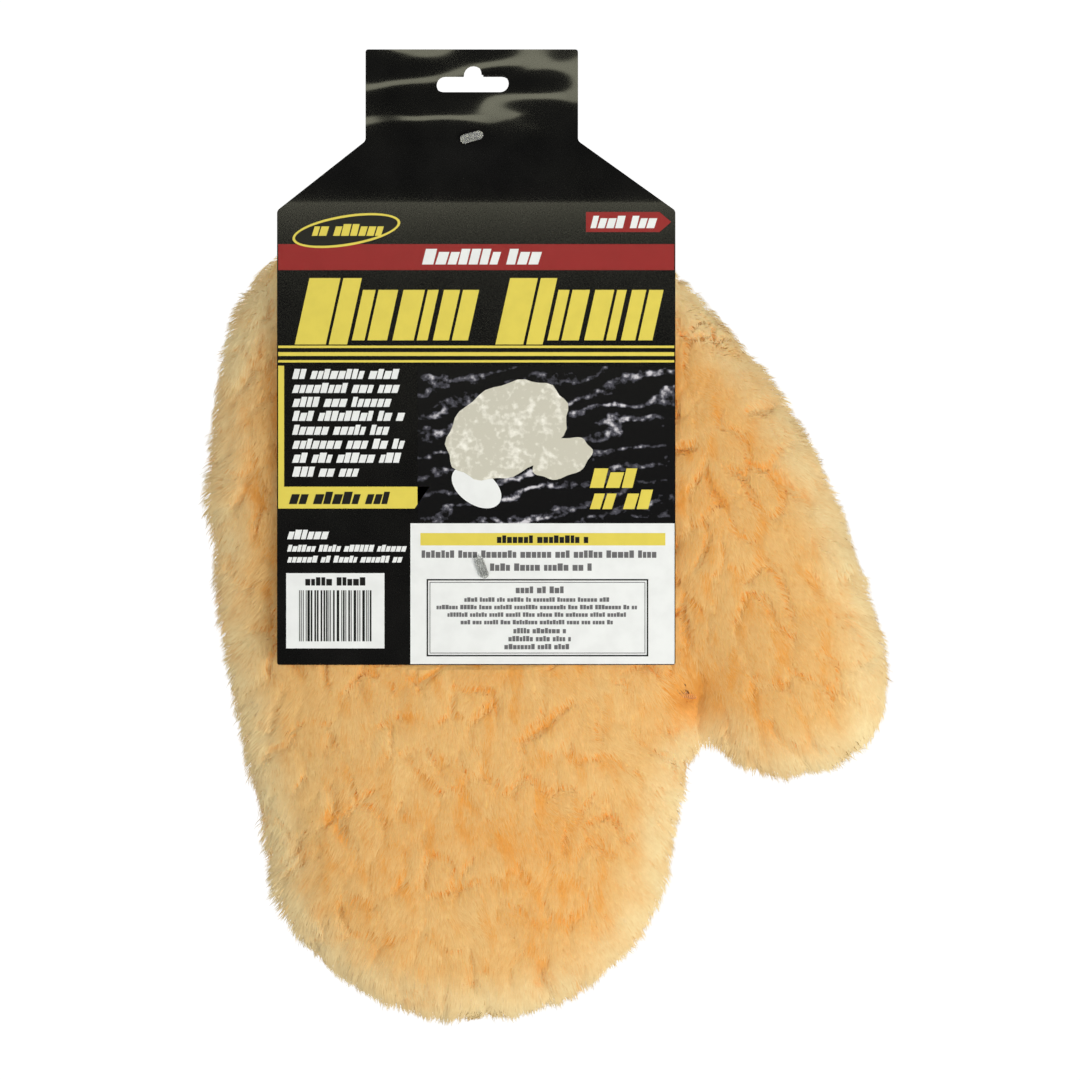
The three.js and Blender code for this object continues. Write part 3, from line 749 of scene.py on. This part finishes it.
# The cuff: its ribs, the points round each, its rows of points and the share of its height they
# fill, the rise of the fold at the hem, and how far its foot is sewn into the neck.
RIB_PITCH = 2.3 * MM
RIB_DEPTH = 0.45 * MM
RIB_POINTS = 8
CUFF_ROWS = 34
CUFF_START, CUFF_END = 0.03, 0.95
FOLD_RISE = 1.2 * MM
CUFF_TUCK = 6 * MM
END_BAND = 0.5 * MM
FLAT_RING = 1.12


def cuff_ends():
    """The middle and half size of the CAD cuff's foot, and of its top."""
    low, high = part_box("cuff")
    shape = points_of(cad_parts["cuff"].data)
    foot = shape[shape[:, 2] < low.z + END_BAND]
    top = shape[shape[:, 2] > high.z - END_BAND]
    return [((ring.min(0) + ring.max(0)) / 2, (ring.max(0) - ring.min(0)) / 2) for ring in (foot, top)]


def cuff_wall(tree, z, centre, half, inner, count):
    """The loop of one wall of the CAD cuff at a height, with points an even way apart."""
    loop = []
    for turn in np.linspace(0, math.tau, 361)[:-1]:
        way = Vector((half[0] * math.cos(turn), half[1] * math.sin(turn), 0)).normalized()
        hit = tree.ray_cast(Vector((0, centre[1], z)), way)[0]
        if hit is not None and not inner:
            beyond = tree.ray_cast(hit + way * 0.3 * MM, way)[0]
            hit = beyond or hit
        if hit is not None:
            loop.append(hit)
    loop = np.array(loop)
    run = np.linalg.norm(np.roll(loop, -1, 0) - loop, axis=1).sum()
    return even_steps(loop, run / count, closed=True)[:count]


def ribbed(loop, wave, side):
    """The loop pushed in and out into ribs: side is 1 for the outer wall and -1 for the inner."""
    along = unit(np.roll(loop, -1, 0) - np.roll(loop, 1, 0))
    out = np.stack([along[:, 1], -along[:, 0], np.zeros(len(loop))], 1)
    return loop + out * (side * RIB_DEPTH * (wave**0.7 - 0.8))[:, None]


def cuff_fold(outer, inner):
    """Three loops that carry the knit over the hem, from the outer wall to the inner one."""
    middle, reach = (outer + inner) / 2, (outer - inner) / 2
    loops = []
    for turn in (math.pi / 4, math.pi / 2, 3 * math.pi / 4):
        lift = np.array((0, 0, FOLD_RISE * math.sin(turn)))
        loops.append(middle + reach * math.cos(turn) + lift)
    return loops


def build_cuff():
    """A double tube of rib knit, folded at the top, read off the CAD cuff height by height."""
    low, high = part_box("cuff")
    tree = surface_of("cuff")
    foot, top = cuff_ends()
    count = RIB_POINTS * round(math.pi * (top[1][0] + top[1][1]) * FLAT_RING / RIB_PITCH)
    wave = 0.5 + 0.5 * np.cos(np.arange(count) * math.tau / RIB_POINTS)
    outer, inner = [], []
    for share in np.linspace(CUFF_START, CUFF_END, CUFF_ROWS):
        z = low.z + (high.z - low.z) * share
        centre, half = (foot[k] + (top[k] - foot[k]) * share for k in (0, 1))
        outside, inside = (cuff_wall(tree, z, centre, half, side, count) for side in (False, True))
        outer.append(ribbed(outside, wave, 1))
        inner.insert(0, ribbed(inside, wave, -1))
    tuck = np.array((0, 0, CUFF_TUCK))
    loops = [outer[0] - tuck, *outer, *cuff_fold(outer[-1], inside), *inner, inner[-1] - tuck]
    made = mesh_object("cuff_knit", np.vstack(loops), ring_faces(len(loops), count, closed=True))
    shadow, light = np.array(srgb(176, 172, 160)), np.array(srgb(240, 239, 232))
    paint(made.data, shadow + (light - shadow) * np.tile(wave, len(loops))[:, None] ** 0.6)
    add_piece(made, "mitt", "white_rib_knit", rib_knit(), "cuff")


def build_backings():
    """The knit that the pile grows from, slack inside the pocket."""
    fabric = backing_knit()
    for node in ("front_backing", "rear_backing"):
        made = copy_of(node, node + "_knit")
        subdivide(made, 2, "SIMPLE")
        made.data.polygons.foreach_set("use_smooth", np.ones(len(made.data.polygons), bool))
        points = points_of(made.data)
        slack = 0.25 * MM * ripple(points * np.array((1, 0, 1)), 16 * MM, 31)
        move_points(made.data, points + np.array((0, 1, 0)) * slack[:, None])
        add_piece(made, "mitt", "knit_backing", fabric, node)


def middle_of_wall(tree, origin, way):
    """Halfway between where a ray enters a wall and where it leaves, or None if it misses."""
    near = tree.ray_cast(origin, way)[0]
    if near is None:
        return None
    far = tree.ray_cast(near + way * 0.05 * MM, way)[0] or near
    return np.array((near + far) / 2)


def seam_path(node, centre, steps=220):
    """The middle line of a flat seam band, found by looking out from a centre point."""
    tree = surface_of(node)
    low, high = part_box(node)
    level = (low.y + high.y) / 2
    path = []
    for turn in np.linspace(0, math.tau, steps + 1)[:-1]:
        way = Vector((math.sin(turn), 0, math.cos(turn)))
        path.append(middle_of_wall(tree, Vector((centre[0], level, centre[1])), way))
    gaps = [k for k, point in enumerate(path) if point is None]
    start = gaps[-1] + 1 if gaps else 0
    ordered = path[start:] + path[:start]
    return np.array([point for point in ordered if point is not None])


def build_seams():
    """Overlocked seams: loops of thread wound along each seam line."""
    orange = twisted_thread("orange_thread", srgb(246, 184, 106), srgb(226, 150, 74))
    for node in ("palm_seam", "thumb_seam"):
        low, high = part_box(node)
        centre = ((low.x + high.x) / 2, (low.z + high.z) / 2)
        if node == "thumb_seam":
            centre = (low.x, high.z - (high.z - low.z) * 0.4)
        path = seam_path(node, centre)
        thread = wound_thread(path, 0.75 * MM, 2.4 * MM, turn_points=8)
        made = joined_mesh(node + "_overlock", [tube(thread, 0.22 * MM, 5), tube(path, 0.3 * MM, 6)])
        add_piece(made, "mitt", "orange_thread", orange, node)
    build_cuff_seam()
    build_bartack(orange)


def build_cuff_seam():
    """The overlock that joins the cuff to both panels, all round the neck."""
    white = twisted_thread("white_thread", srgb(240, 238, 230), srgb(190, 186, 174))
    low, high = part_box("cuff_seam")
    tree = surface_of("cuff_seam")
    middle = (low + high) / 2
    loop = []
    for turn in np.linspace(0, math.tau, 241)[:-1]:
        way = Vector(((high.x - low.x) * math.cos(turn), (high.y - low.y) * math.sin(turn), 0))
        loop.append(middle_of_wall(tree, middle, way.normalized()))
    loop = np.array([point for point in loop if point is not None])
    thread = wound_thread(loop, 1.4 * MM, 2.2 * MM, closed=True)
    core = tube(loop, 0.9 * MM, 6, closed=True)
    made = joined_mesh("cuff_overlock", [tube(thread, 0.25 * MM, 5, closed=True), core])
    add_piece(made, "mitt", "white_thread", white, "cuff_seam")


def build_bartack(orange):
    """The tack at the thumb: thread wound tightly round a post, with a bar at each end."""
    low, high, middle = BARTACK_LO, BARTACK_HI, BARTACK
    parts = []
    post = np.array([(middle.x, y, middle.z) for y in np.linspace(low.y + MM, high.y - MM, 12)])
    parts.append(tube(wound_thread(post, 0.7 * MM, 0.8 * MM), 0.3 * MM, 6))
    parts.append(tube(post, 0.5 * MM, 8))
    for y in (low.y + 0.8 * MM, high.y - 0.8 * MM):
        line = np.array([(x, y, middle.z) for x in np.linspace(low.x + MM, high.x - MM, 12)])
        parts.append(tube(wound_thread(line, 0.75 * MM, 0.7 * MM), 0.28 * MM, 6))
        parts.append(tube(line, 0.55 * MM, 8))
    made = joined_mesh("thumb_bartack_thread", parts)
    add_piece(made, "mitt", "orange_thread", orange, "thumb_bartack")


# ---- the printed card ----

# The print is laid out in millimetres from the card's left and top edges.
COAT = 0.04 * MM
CARD_WIDTH = (CARD_HI.x - CARD_LO.x) / MM
PRINT_LEFT = 0.4
PRINT_RIGHT = CARD_WIDTH - 0.4
PHOTO_LEFT, PHOTO_RIGHT = 47.6, CARD_WIDTH - 0.3
BAND_TOP, BAND_FOOT = 66.0, 74.8
SIDE_TOP, SIDE_FOOT = 107.2, 148.2
BANNER_FOOT = 155.6
FINE_BAR = 0.28
WAVES_START = CARD_HI.z - 52 * MM
WAVES_IN_FULL = CARD_HI.z - 22 * MM
INKS = {"red": srgb(152, 28, 30), "yellow": srgb(233, 215, 86), "white": srgb(243, 246, 245),
        "black": srgb(16, 16, 16), "grey": srgb(108, 108, 110)}


def tab_waves(finish):
    """The slow waves of the doubled tab. The single board below it lies flat."""
    height = finish.add("SeparateXYZ", {0: finish.add("TexCoord").outputs["Object"]}).outputs["Z"]
    on_tab = finish.range(height, 0.0, 1.0, WAVES_START, WAVES_IN_FULL)
    slanted = finish.add("Mapping", {"Vector": finish.place((0.8, 1, 1.5)), "Rotation": (0, 0.5, 0)})
    wave = finish.noise(24, 1.0, slanted.outputs["Vector"])
    return finish.bump(finish.combine("MULTIPLY", wave, on_tab), 4.5 * MM, 0.9)


def card_board():
    """Coated board: glossy black on the front, and bare grey-white board behind and at the cuts."""
    finish = Finish("card_board", Roughness=0.3, Specular_IOR_Level=0.04,
                    Coat_Weight=0.5, Coat_Roughness=0.09)
    facing = finish.add("SeparateXYZ", {0: finish.add("TexCoord").outputs["Normal"]}).outputs["Y"]
    front = finish.range(facing, 1.0, 0.0, -0.9, -0.5)
    pulp = finish.ramp(finish.noise(700, 4), (0.3, srgb(196, 192, 180)), (0.7, srgb(216, 213, 203)))
    black = finish.ramp(finish.noise(60, 3), (0.35, srgb(13, 13, 13)), (0.7, srgb(21, 21, 20)))
    grain = finish.noise(2500, 2)
    soft = tab_waves(finish)
    return finish.use(Base_Color=finish.blend(front, pulp, black),
                      Roughness=finish.range(grain, 0.2, 0.36),
                      Normal=finish.bump(grain, 0.02 * MM, 0.3, soft), Coat_Normal=soft)


def print_ink(name, colour):
    """Printed colour, slightly uneven, with the fine tooth of coated board in its shine."""
    finish = Finish(name, Roughness=0.3, Specular_IOR_Level=0.25)
    worn = [value * 0.95 for value in colour]
    shade = finish.ramp(finish.noise(160, 4), (0.35, worn), (0.6, colour))
    return finish.use(Base_Color=shade, Normal=finish.bump(finish.noise(2500, 2), 0.02 * MM, 0.3))


def photo_ink():
    """The dark photograph on the card: black paint with streaks of splashing water."""
    finish = Finish("photo_ink", Roughness=0.25, Specular_IOR_Level=0.1)
    bent = finish.add("Mapping", {"Vector": finish.place(), "Rotation": (0, 0.5, 0),
                                  "Scale": (1, 1, 2.2)}).outputs["Vector"]
    streaks = finish.wave(22, 9.0, "Z", bent, Detail=5.0, Detail_Scale=2.2)
    lines = finish.combine("MULTIPLY", streaks, finish.noise(34, 5))
    water = finish.combine("MULTIPLY", lines, finish.noise(420, 3))
    colour = finish.ramp(water, (0.19, srgb(12, 12, 15)), (0.27, srgb(84, 84, 94)),
                         (0.36, srgb(214, 212, 218)))
    return finish.use(Base_Color=colour)


def fleece_ink():
    """The picture of a cream mitt: mottled as a small printed photograph is."""
    finish = Finish("fleece_ink", Roughness=0.35)
    curls = finish.noise(520, 4)
    mixed = finish.combine("ADD", curls, finish.noise(110, 4))
    colour = finish.ramp(mixed, (0.7, srgb(250, 248, 236)), (1.2, srgb(206, 203, 186)))
    return finish.use(Base_Color=colour, Normal=finish.bump(curls, 0.1 * MM, 0.3))


def bar(left, right, top, bottom, slant=0.0):
    """A bar of print, its top leaning right by slant."""
    return [(left, bottom), (right, bottom), (right + slant, top), (left + slant, top)]


def frame_bars(left, right, top, bottom, line):
    """The four sides of an outlined box."""
    return [bar(left, right, top, top + line), bar(left, right, bottom - line, bottom),
            bar(left, left + line, top + line, bottom - line),
            bar(right - line, right, top + line, bottom - line)]


def text_blocks(left, right, top, height, dice, slant=0.25, wide=0.6, gap=0.12, centred=False):
    """A line of small blocks grouped like words. They stand for writing and spell nothing."""
    blocks, across = [], left
    while across < right:
        for _ in range(int(dice.integers(2, 9))):
            width = height * wide * dice.uniform(0.75, 1.2)
            if across + width > right:
                break
            rise = height * (0.0 if dice.random() < 0.35 else 0.2)
            blocks.append(bar(across, across + width, top + rise, top + height, slant * height))
            across += width + height * gap
        across += height * 0.45
    if centred and blocks:
        shift = (right - blocks[-1][1][0]) / 2
        blocks = [[(x + shift, y) for x, y in block] for block in blocks]
    return blocks


def title_shape(left, width, top, bottom, split, slant):
    """One big slanted block of the title, cut in two by a thin slit."""
    first = width * split
    return [bar(left, left + first - 0.5, top, bottom, slant),
            bar(left + first + 0.5, left + width, top, bottom, slant)]


def oval(across, down, half_width, half_height, turn=0.0, bumps=0, swing=0.0, steps=48):
    """A turned oval outline, with a wavy edge where it has bumps."""
    outline = []
    for angle in np.linspace(0, math.tau, steps + 1)[:-1]:
        grow = 1 + swing * math.sin(bumps * angle)
        x, y = half_width * grow * math.cos(angle), half_height * grow * math.sin(angle)
        outline.append((across + x * math.cos(turn) - y * math.sin(turn),
                        down + x * math.sin(turn) + y * math.cos(turn)))
    return outline


def printed(name, outlines, material, coat=1):
    """Flat inked shapes on the card's front, one coat of print above the last."""
    art = bmesh.new()
    rear = CARD_FRONT - (coat - 1) * COAT
    for outline in outlines:
        rings = []
        for level in (rear - COAT, rear + COAT / 2):
            spots = [(CARD_LO.x + x * MM, level, CARD_HI.z - y * MM) for x, y in outline]
            rings.append([art.verts.new(spot) for spot in spots])
        face, back = rings
        art.faces.new(face)
        art.faces.new(back[::-1])
        for k in range(len(face)):
            n = (k + 1) % len(face)
            art.faces.new((face[k], back[k], back[n], face[n]))
    bmesh.ops.recalc_face_normals(art, faces=art.faces)
    mesh = bpy.data.meshes.new(name)
    art.to_mesh(mesh)
    art.free()
    made = bpy.data.objects.new(name, mesh)
    SCENE.collection.objects.link(made)
    add_piece(made, "card", "card_board", material)


def print_title(inks):
    """Two words of big slanted blocks: a tall first block, then three lower ones."""
    top, foot, low_top, low_foot = 77.5, 100.0, 81.5, 98.6
    tall_slant, low_slant, tall_split = 5.0, 3.8, 0.62
    title = []
    for left, right in ((6.0, 66.5), (74.0, 129.0)):
        first = (right - left) * 0.32
        step = (right - left - first) / 3
        title += title_shape(left, first - 1.6, top, foot, tall_split, tall_slant)
        for k, split in enumerate((0.4, 0.65, 0.5)):
            title += title_shape(left + first + k * step, step - 1.8, low_top, low_foot, split, low_slant)
    printed("title_blocks", title, inks["yellow"])


def print_headings(inks, dice):
    """The red band, the arrow tag, the badge, the title and the rules under it."""
    arrow_left, arrow_right, arrow_tip = 104.7, 129.6, 133.6
    arrow_top, arrow_middle, arrow_foot = 55.1, 58.5, 61.9
    arrow = [(arrow_left, arrow_foot), (arrow_right, arrow_foot), (arrow_tip, arrow_middle),
             (arrow_right, arrow_top), (arrow_left, arrow_top)]
    printed("red_print", [bar(PRINT_LEFT, PRINT_RIGHT, BAND_TOP, BAND_FOOT), arrow], inks["red"])
    headings = text_blocks(47.6, 90, 67.6, 5.3, dice, centred=True)
    headings += text_blocks(106.2, 128, 56.4, 4.2, dice)
    printed("heading_blocks", headings, inks["white"], coat=2)
    badge_across, badge_down, badge_turn = 23.5, 61.4, -0.16
    printed("badge_rim", [oval(badge_across, badge_down, 18.5, 5.2, badge_turn)], inks["yellow"], coat=2)
    printed("badge_ground", [oval(badge_across, badge_down, 17.6, 4.4, badge_turn)], inks["black"], coat=3)
    printed("badge_blocks", text_blocks(11, 36, 59.2, 4.0, dice, centred=True), inks["yellow"], coat=4)
    print_title(inks)
    spans = ((100.4, 101.2), (102.6, 103.9), (105.3, 106.1))
    rules = [bar(PRINT_LEFT, PRINT_RIGHT, top, foot) for top, foot in spans]
    printed("rules", rules, inks["yellow"])


def print_bar_code(inks, dice):
    """A white label with bars in a random order, under a line of blocks."""
    left, right, top, foot = 3.1, 36.4, 177.5, 203.0
    printed("code_ground", [bar(left, right, top, foot)], inks["white"])
    bars, across = [], 7.5
    while across < 32.0:
        width = dice.choice((FINE_BAR, FINE_BAR, FINE_BAR * 2, FINE_BAR * 3))
        bars.append(bar(across, across + width, 183.3, 200.6))
        across += width + dice.choice((FINE_BAR, FINE_BAR * 1.5, FINE_BAR * 2.5))
    heading = text_blocks(9.5, 30, 178.9, 2.8, dice, slant=0, centred=True)
    printed("code_bars", bars + heading, inks["black"], coat=2)


def print_left_side(inks, dice):
    """The lines of text, the banner and the bar code down the left."""
    printed("side_bar", [bar(PRINT_LEFT, PRINT_LEFT + 2.0, SIDE_TOP, SIDE_FOOT)], inks["yellow"])
    lines, rows, pitch = [], 8, 4.73
    for row in range(rows):
        right = 28 if row == rows - 1 else 38 + 7 * dice.random()
        lines += text_blocks(5.1, right, 108.3 + pitch * row, 3.4, dice)
    printed("side_text", lines, inks["white"])
    banner = [(PRINT_LEFT, BANNER_FOOT), (46.6, BANNER_FOOT), (51.7, SIDE_FOOT), (PRINT_LEFT, SIDE_FOOT)]
    printed("banner", [banner], inks["yellow"])
    printed("banner_blocks", text_blocks(4.0, 40, 149.9, 4.2, dice), inks["black"], coat=2)
    small = text_blocks(3.4, 18.4, 162.8, 3.2, dice)
    small += text_blocks(3.4, 43.5, 167.9, 2.3, dice) + text_blocks(3.4, 43.5, 171.6, 2.3, dice)
    printed("size_text", small, inks["white"])
    print_bar_code(inks, dice)


def print_picture(inks, dice):
    """The photograph of a mitt at work, with no hand or arm in it."""
    printed("picture", [bar(PHOTO_LEFT, PHOTO_RIGHT, 107.4, 161.0)], photo_ink())
    fleece = fleece_ink()
    printed("picture_cuff", [oval(67.6, 148.4, 9.4, 5.8, 0.6)], inks["white"], coat=2)
    printed("picture_mitt", [oval(78.0, 129.0, 22.0, 15.0, -0.5, 11, 0.03)], fleece, coat=3)
    printed("picture_thumb", [oval(96.5, 138.5, 10.5, 6.5, -0.35, 7, 0.05)], fleece, coat=4)
    words = text_blocks(106.0, 125.0, 142.0, 6.6, dice) + text_blocks(106.0, 130.5, 149.2, 6.6, dice)
    printed("picture_blocks", words, inks["yellow"], coat=2)


def print_panel(inks, dice):
    """The white panel: a heading strip, two lines, and a double-ruled box of small lines."""
    printed("panel", [bar(45.2, PHOTO_RIGHT, 160.6, 208.3)], inks["white"], coat=2)
    printed("panel_strip", [bar(48.6, 131.6, 163.9, 168.1)], inks["yellow"], coat=3)
    strip = text_blocks(74, 106, 164.7, 2.6, dice, slant=0, centred=True)
    printed("panel_strip_blocks", strip, inks["black"], coat=4)
    lines = text_blocks(49, 131, 169.8, 2.5, dice, slant=0)
    lines += text_blocks(72, 106.8, 174.2, 2.5, dice, slant=0, centred=True)
    lines += text_blocks(80, 98, 182.0, 2.3, dice, slant=0, centred=True)
    for row, (left, right) in enumerate(((63, 113), (54, 122), (57, 119), (62, 114))):
        lines += text_blocks(left, right, 185.7 + 2.55 * row, 1.5, dice, slant=0, centred=True)
    for row, (left, right) in enumerate(((80, 98), (78, 100), (76, 100))):
        lines += text_blocks(left, right, 196.1 + 2.7 * row, 1.8, dice, slant=0, centred=True)
    printed("panel_text", lines, inks["grey"], coat=3)
    left, right, top, foot, apart = 50.7, 125.8, 179.5, 205.7, 1.0
    outer = frame_bars(left, right, top, foot, 0.5)
    inner = frame_bars(left + apart, right - apart, top + apart, foot - apart, 0.25)
    printed("panel_outer_rule", outer, inks["black"], coat=3)
    printed("panel_inner_rule", inner, inks["grey"], coat=3)


def build_card():
    """Finishes the CAD card and prints its front."""
    finish_node("header_card", card_board())
    inks = {name: print_ink(name + "_ink", colour) for name, colour in INKS.items()}
    dice = np.random.default_rng(8)
    print_headings(inks, dice)
    print_left_side(inks, dice)
    print_picture(inks, dice)
    print_panel(inks, dice)


# ---- the tag pins ----

RIDGE_REACH = 3.2 * MM
RIDGE_PITCH = 0.95 * MM
RIDGE_RADIUS = 0.3 * MM
RIDGE_STEPS = 9


def clear_nylon():
    """Milky nylon: light passes into it, with faint flow lines from the mould."""
    finish = Finish("clear_nylon", Roughness=0.22, IOR=1.45, Transmission_Weight=0.82)
    flow = finish.noise(500, 3, finish.place((0.3, 1, 1)))
    colour = finish.ramp(flow, (0.3, srgb(206, 208, 205)), (0.7, srgb(240, 241, 239)))
    return finish.use(Base_Color=colour, Normal=finish.bump(flow, 0.08 * MM, 0.4))


def pin_ridges(node, body, tilt, material):
    """The three lengthwise ridges moulded on a pin's paddle, lower at their ends."""
    low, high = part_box(node)
    middle = (low + high) / 2
    along = np.array((math.cos(tilt), 0, math.sin(tilt)))
    across = np.array((-math.sin(tilt), 0, math.cos(tilt)))
    centre = np.array((middle.x, low.y + 0.1 * MM, middle.z))
    parts = []
    for row in (-1, 0, 1):
        line = np.linspace(-RIDGE_REACH, RIDGE_REACH, RIDGE_STEPS)[:, None] * along
        line = line + centre + row * RIDGE_PITCH * across
        dome = np.sin(np.linspace(0, math.pi, RIDGE_STEPS)) ** 0.4
        line[:, 1] += RIDGE_RADIUS * (1 - dome)
        parts.append(tube(line, RIDGE_RADIUS, 8))
    made = joined_mesh(node + "_ridges", parts)
    add_piece(made, body, "clear_nylon", material)


def build_pins():
    """Finishes both CAD pins and adds the ridges of their paddles."""
    nylon = clear_nylon()
    for node, body, tilt in (("upper_tag_pin", "upper_pin", 15), ("lower_tag_pin", "lower_pin", -70)):
        finish_node(node, nylon)
        pin_ridges(node, body, math.radians(tilt), nylon)


# ---- the studio ----

CAMERA_DISTANCE = 2.0
SENSOR_WIDTH = 36
OBJECT_SHARE = 0.903
OFF_CENTRE = Vector((-2.3 * MM, 0, -1.0 * MM))
WORLD_LIGHT = 0.42
TENT_LIGHT = 0.6


def area_light(name, place, size, power, colour, aim):
    """A soft square light at a place, turned to shine at aim."""
    lamp = bpy.data.lights.new(name, "AREA")
    lamp.shape = "RECTANGLE"
    lamp.size, lamp.size_y = size
    lamp.energy = power
    lamp.color = colour
    made = bpy.data.objects.new(name, lamp)
    made.location = place
    made.rotation_mode = "QUATERNION"
    made.rotation_quaternion = (Vector(aim) - Vector(place)).to_track_quat("-Z", "Y")
    SCENE.collection.objects.link(made)


def backdrop():
    """A pale round floor that curves up into a wall all round, lit from behind like a light tent."""
    floor, radius, bend, top = -0.75, 4.5, 1.5, 4.0
    profile = [(0.001, floor), (radius - bend, floor)]
    for turn in np.linspace(0, math.pi / 2, 17)[1:]:
        profile.append((radius - bend + bend * math.sin(turn), floor + bend * (1 - math.cos(turn))))
    profile.append((radius, top))
    sides = 96
    points = [(r * math.sin(k * math.tau / sides), r * math.cos(k * math.tau / sides), z)
              for r, z in profile for k in range(sides)]
    made = mesh_object("backdrop", points, ring_faces(len(profile), sides))
    finish = Finish("backdrop_paper", Roughness=0.9, Emission_Color=(1, 1, 1, 1),
                    Emission_Strength=TENT_LIGHT)
    shade = finish.ramp(finish.noise(3), (0.3, srgb(250, 250, 250)), (0.7, srgb(253, 253, 253)))
    made.data.materials.append(finish.use(Base_Color=shade))
    made.visible_diffuse = False
    made.visible_shadow = False
    made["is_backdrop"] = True


def dark_flag(middle):
    """A black cloth behind the camera, which only reflections see, so that the gloss stays black."""
    across, up, behind = 3.0, 2.4, -2.6
    signs = ((-1, -1), (1, -1), (1, 1), (-1, 1))
    corners = [(across * x, behind, middle.z + up * z) for x, z in signs]
    made = mesh_object("dark_flag", corners, [(0, 1, 2, 3)])
    finish = Finish("flag_cloth", Roughness=1.0)
    shade = finish.ramp(finish.noise(40), (0.3, srgb(2, 2, 2)), (0.7, srgb(6, 6, 6)))
    made.data.materials.append(finish.use(Base_Color=shade))
    for seen in ("visible_camera", "visible_diffuse", "visible_shadow", "visible_transmission"):
        setattr(made, seen, False)
    made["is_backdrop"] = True


def studio():
    """Pale surroundings, soft lights from the front, and the camera straight in front."""
    low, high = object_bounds()
    middle = (low + high) / 2
    world = bpy.data.worlds.new("studio")
    world.use_nodes = True
    sky = world.node_tree.nodes["Background"]
    sky.inputs["Color"].default_value = (1, 1, 1, 1)
    sky.inputs["Strength"].default_value = WORLD_LIGHT
    SCENE.world = world
    SCENE.view_settings.view_transform = "Standard"
    backdrop()
    dark_flag(middle)
    area_light("key", (0.62, -0.85, -0.5), (0.55, 0.55), 7.6, (1.0, 0.97, 0.93), middle)
    area_light("fill", (-1.3, -1.5, 0.5), (1.2, 1.2), 3, (0.95, 0.97, 1.0), middle)
    area_light("rear_light", (-0.9, 1.7, 0.7), (1.2, 1.2), 26, (1, 0.98, 0.96), middle)
    area_light("card_glint", (-0.02, -2.05, 0.19), (0.42, 0.2), 2.2, (0.95, 0.94, 0.7), (0, 0, 0))
    place_camera()


def place_camera():
    """A camera straight in front, far enough back that the mitt fills its share of the picture."""
    lens = bpy.data.cameras.new("camera")
    camera = bpy.data.objects.new("camera", lens)
    frame_height = (CARD_HI.z - FRONT_LO.z) / OBJECT_SHARE
    lens.sensor_width = SENSOR_WIDTH
    lens.lens = SENSOR_WIDTH * CAMERA_DISTANCE / frame_height
    lens.clip_start = 0.05
    across = (FRONT_LO.x + FRONT_HI.x) / 2
    level = (CARD_HI.z + FRONT_LO.z) / 2
    camera.location = Vector((across, -CAMERA_DISTANCE, level)) + OFF_CENTRE
    camera.rotation_euler = (math.pi / 2, 0, 0)
    SCENE.collection.objects.link(camera)
    SCENE.camera = camera


build_pile()
build_backings()
build_seams()
build_cuff()
build_card()
build_pins()
studio()
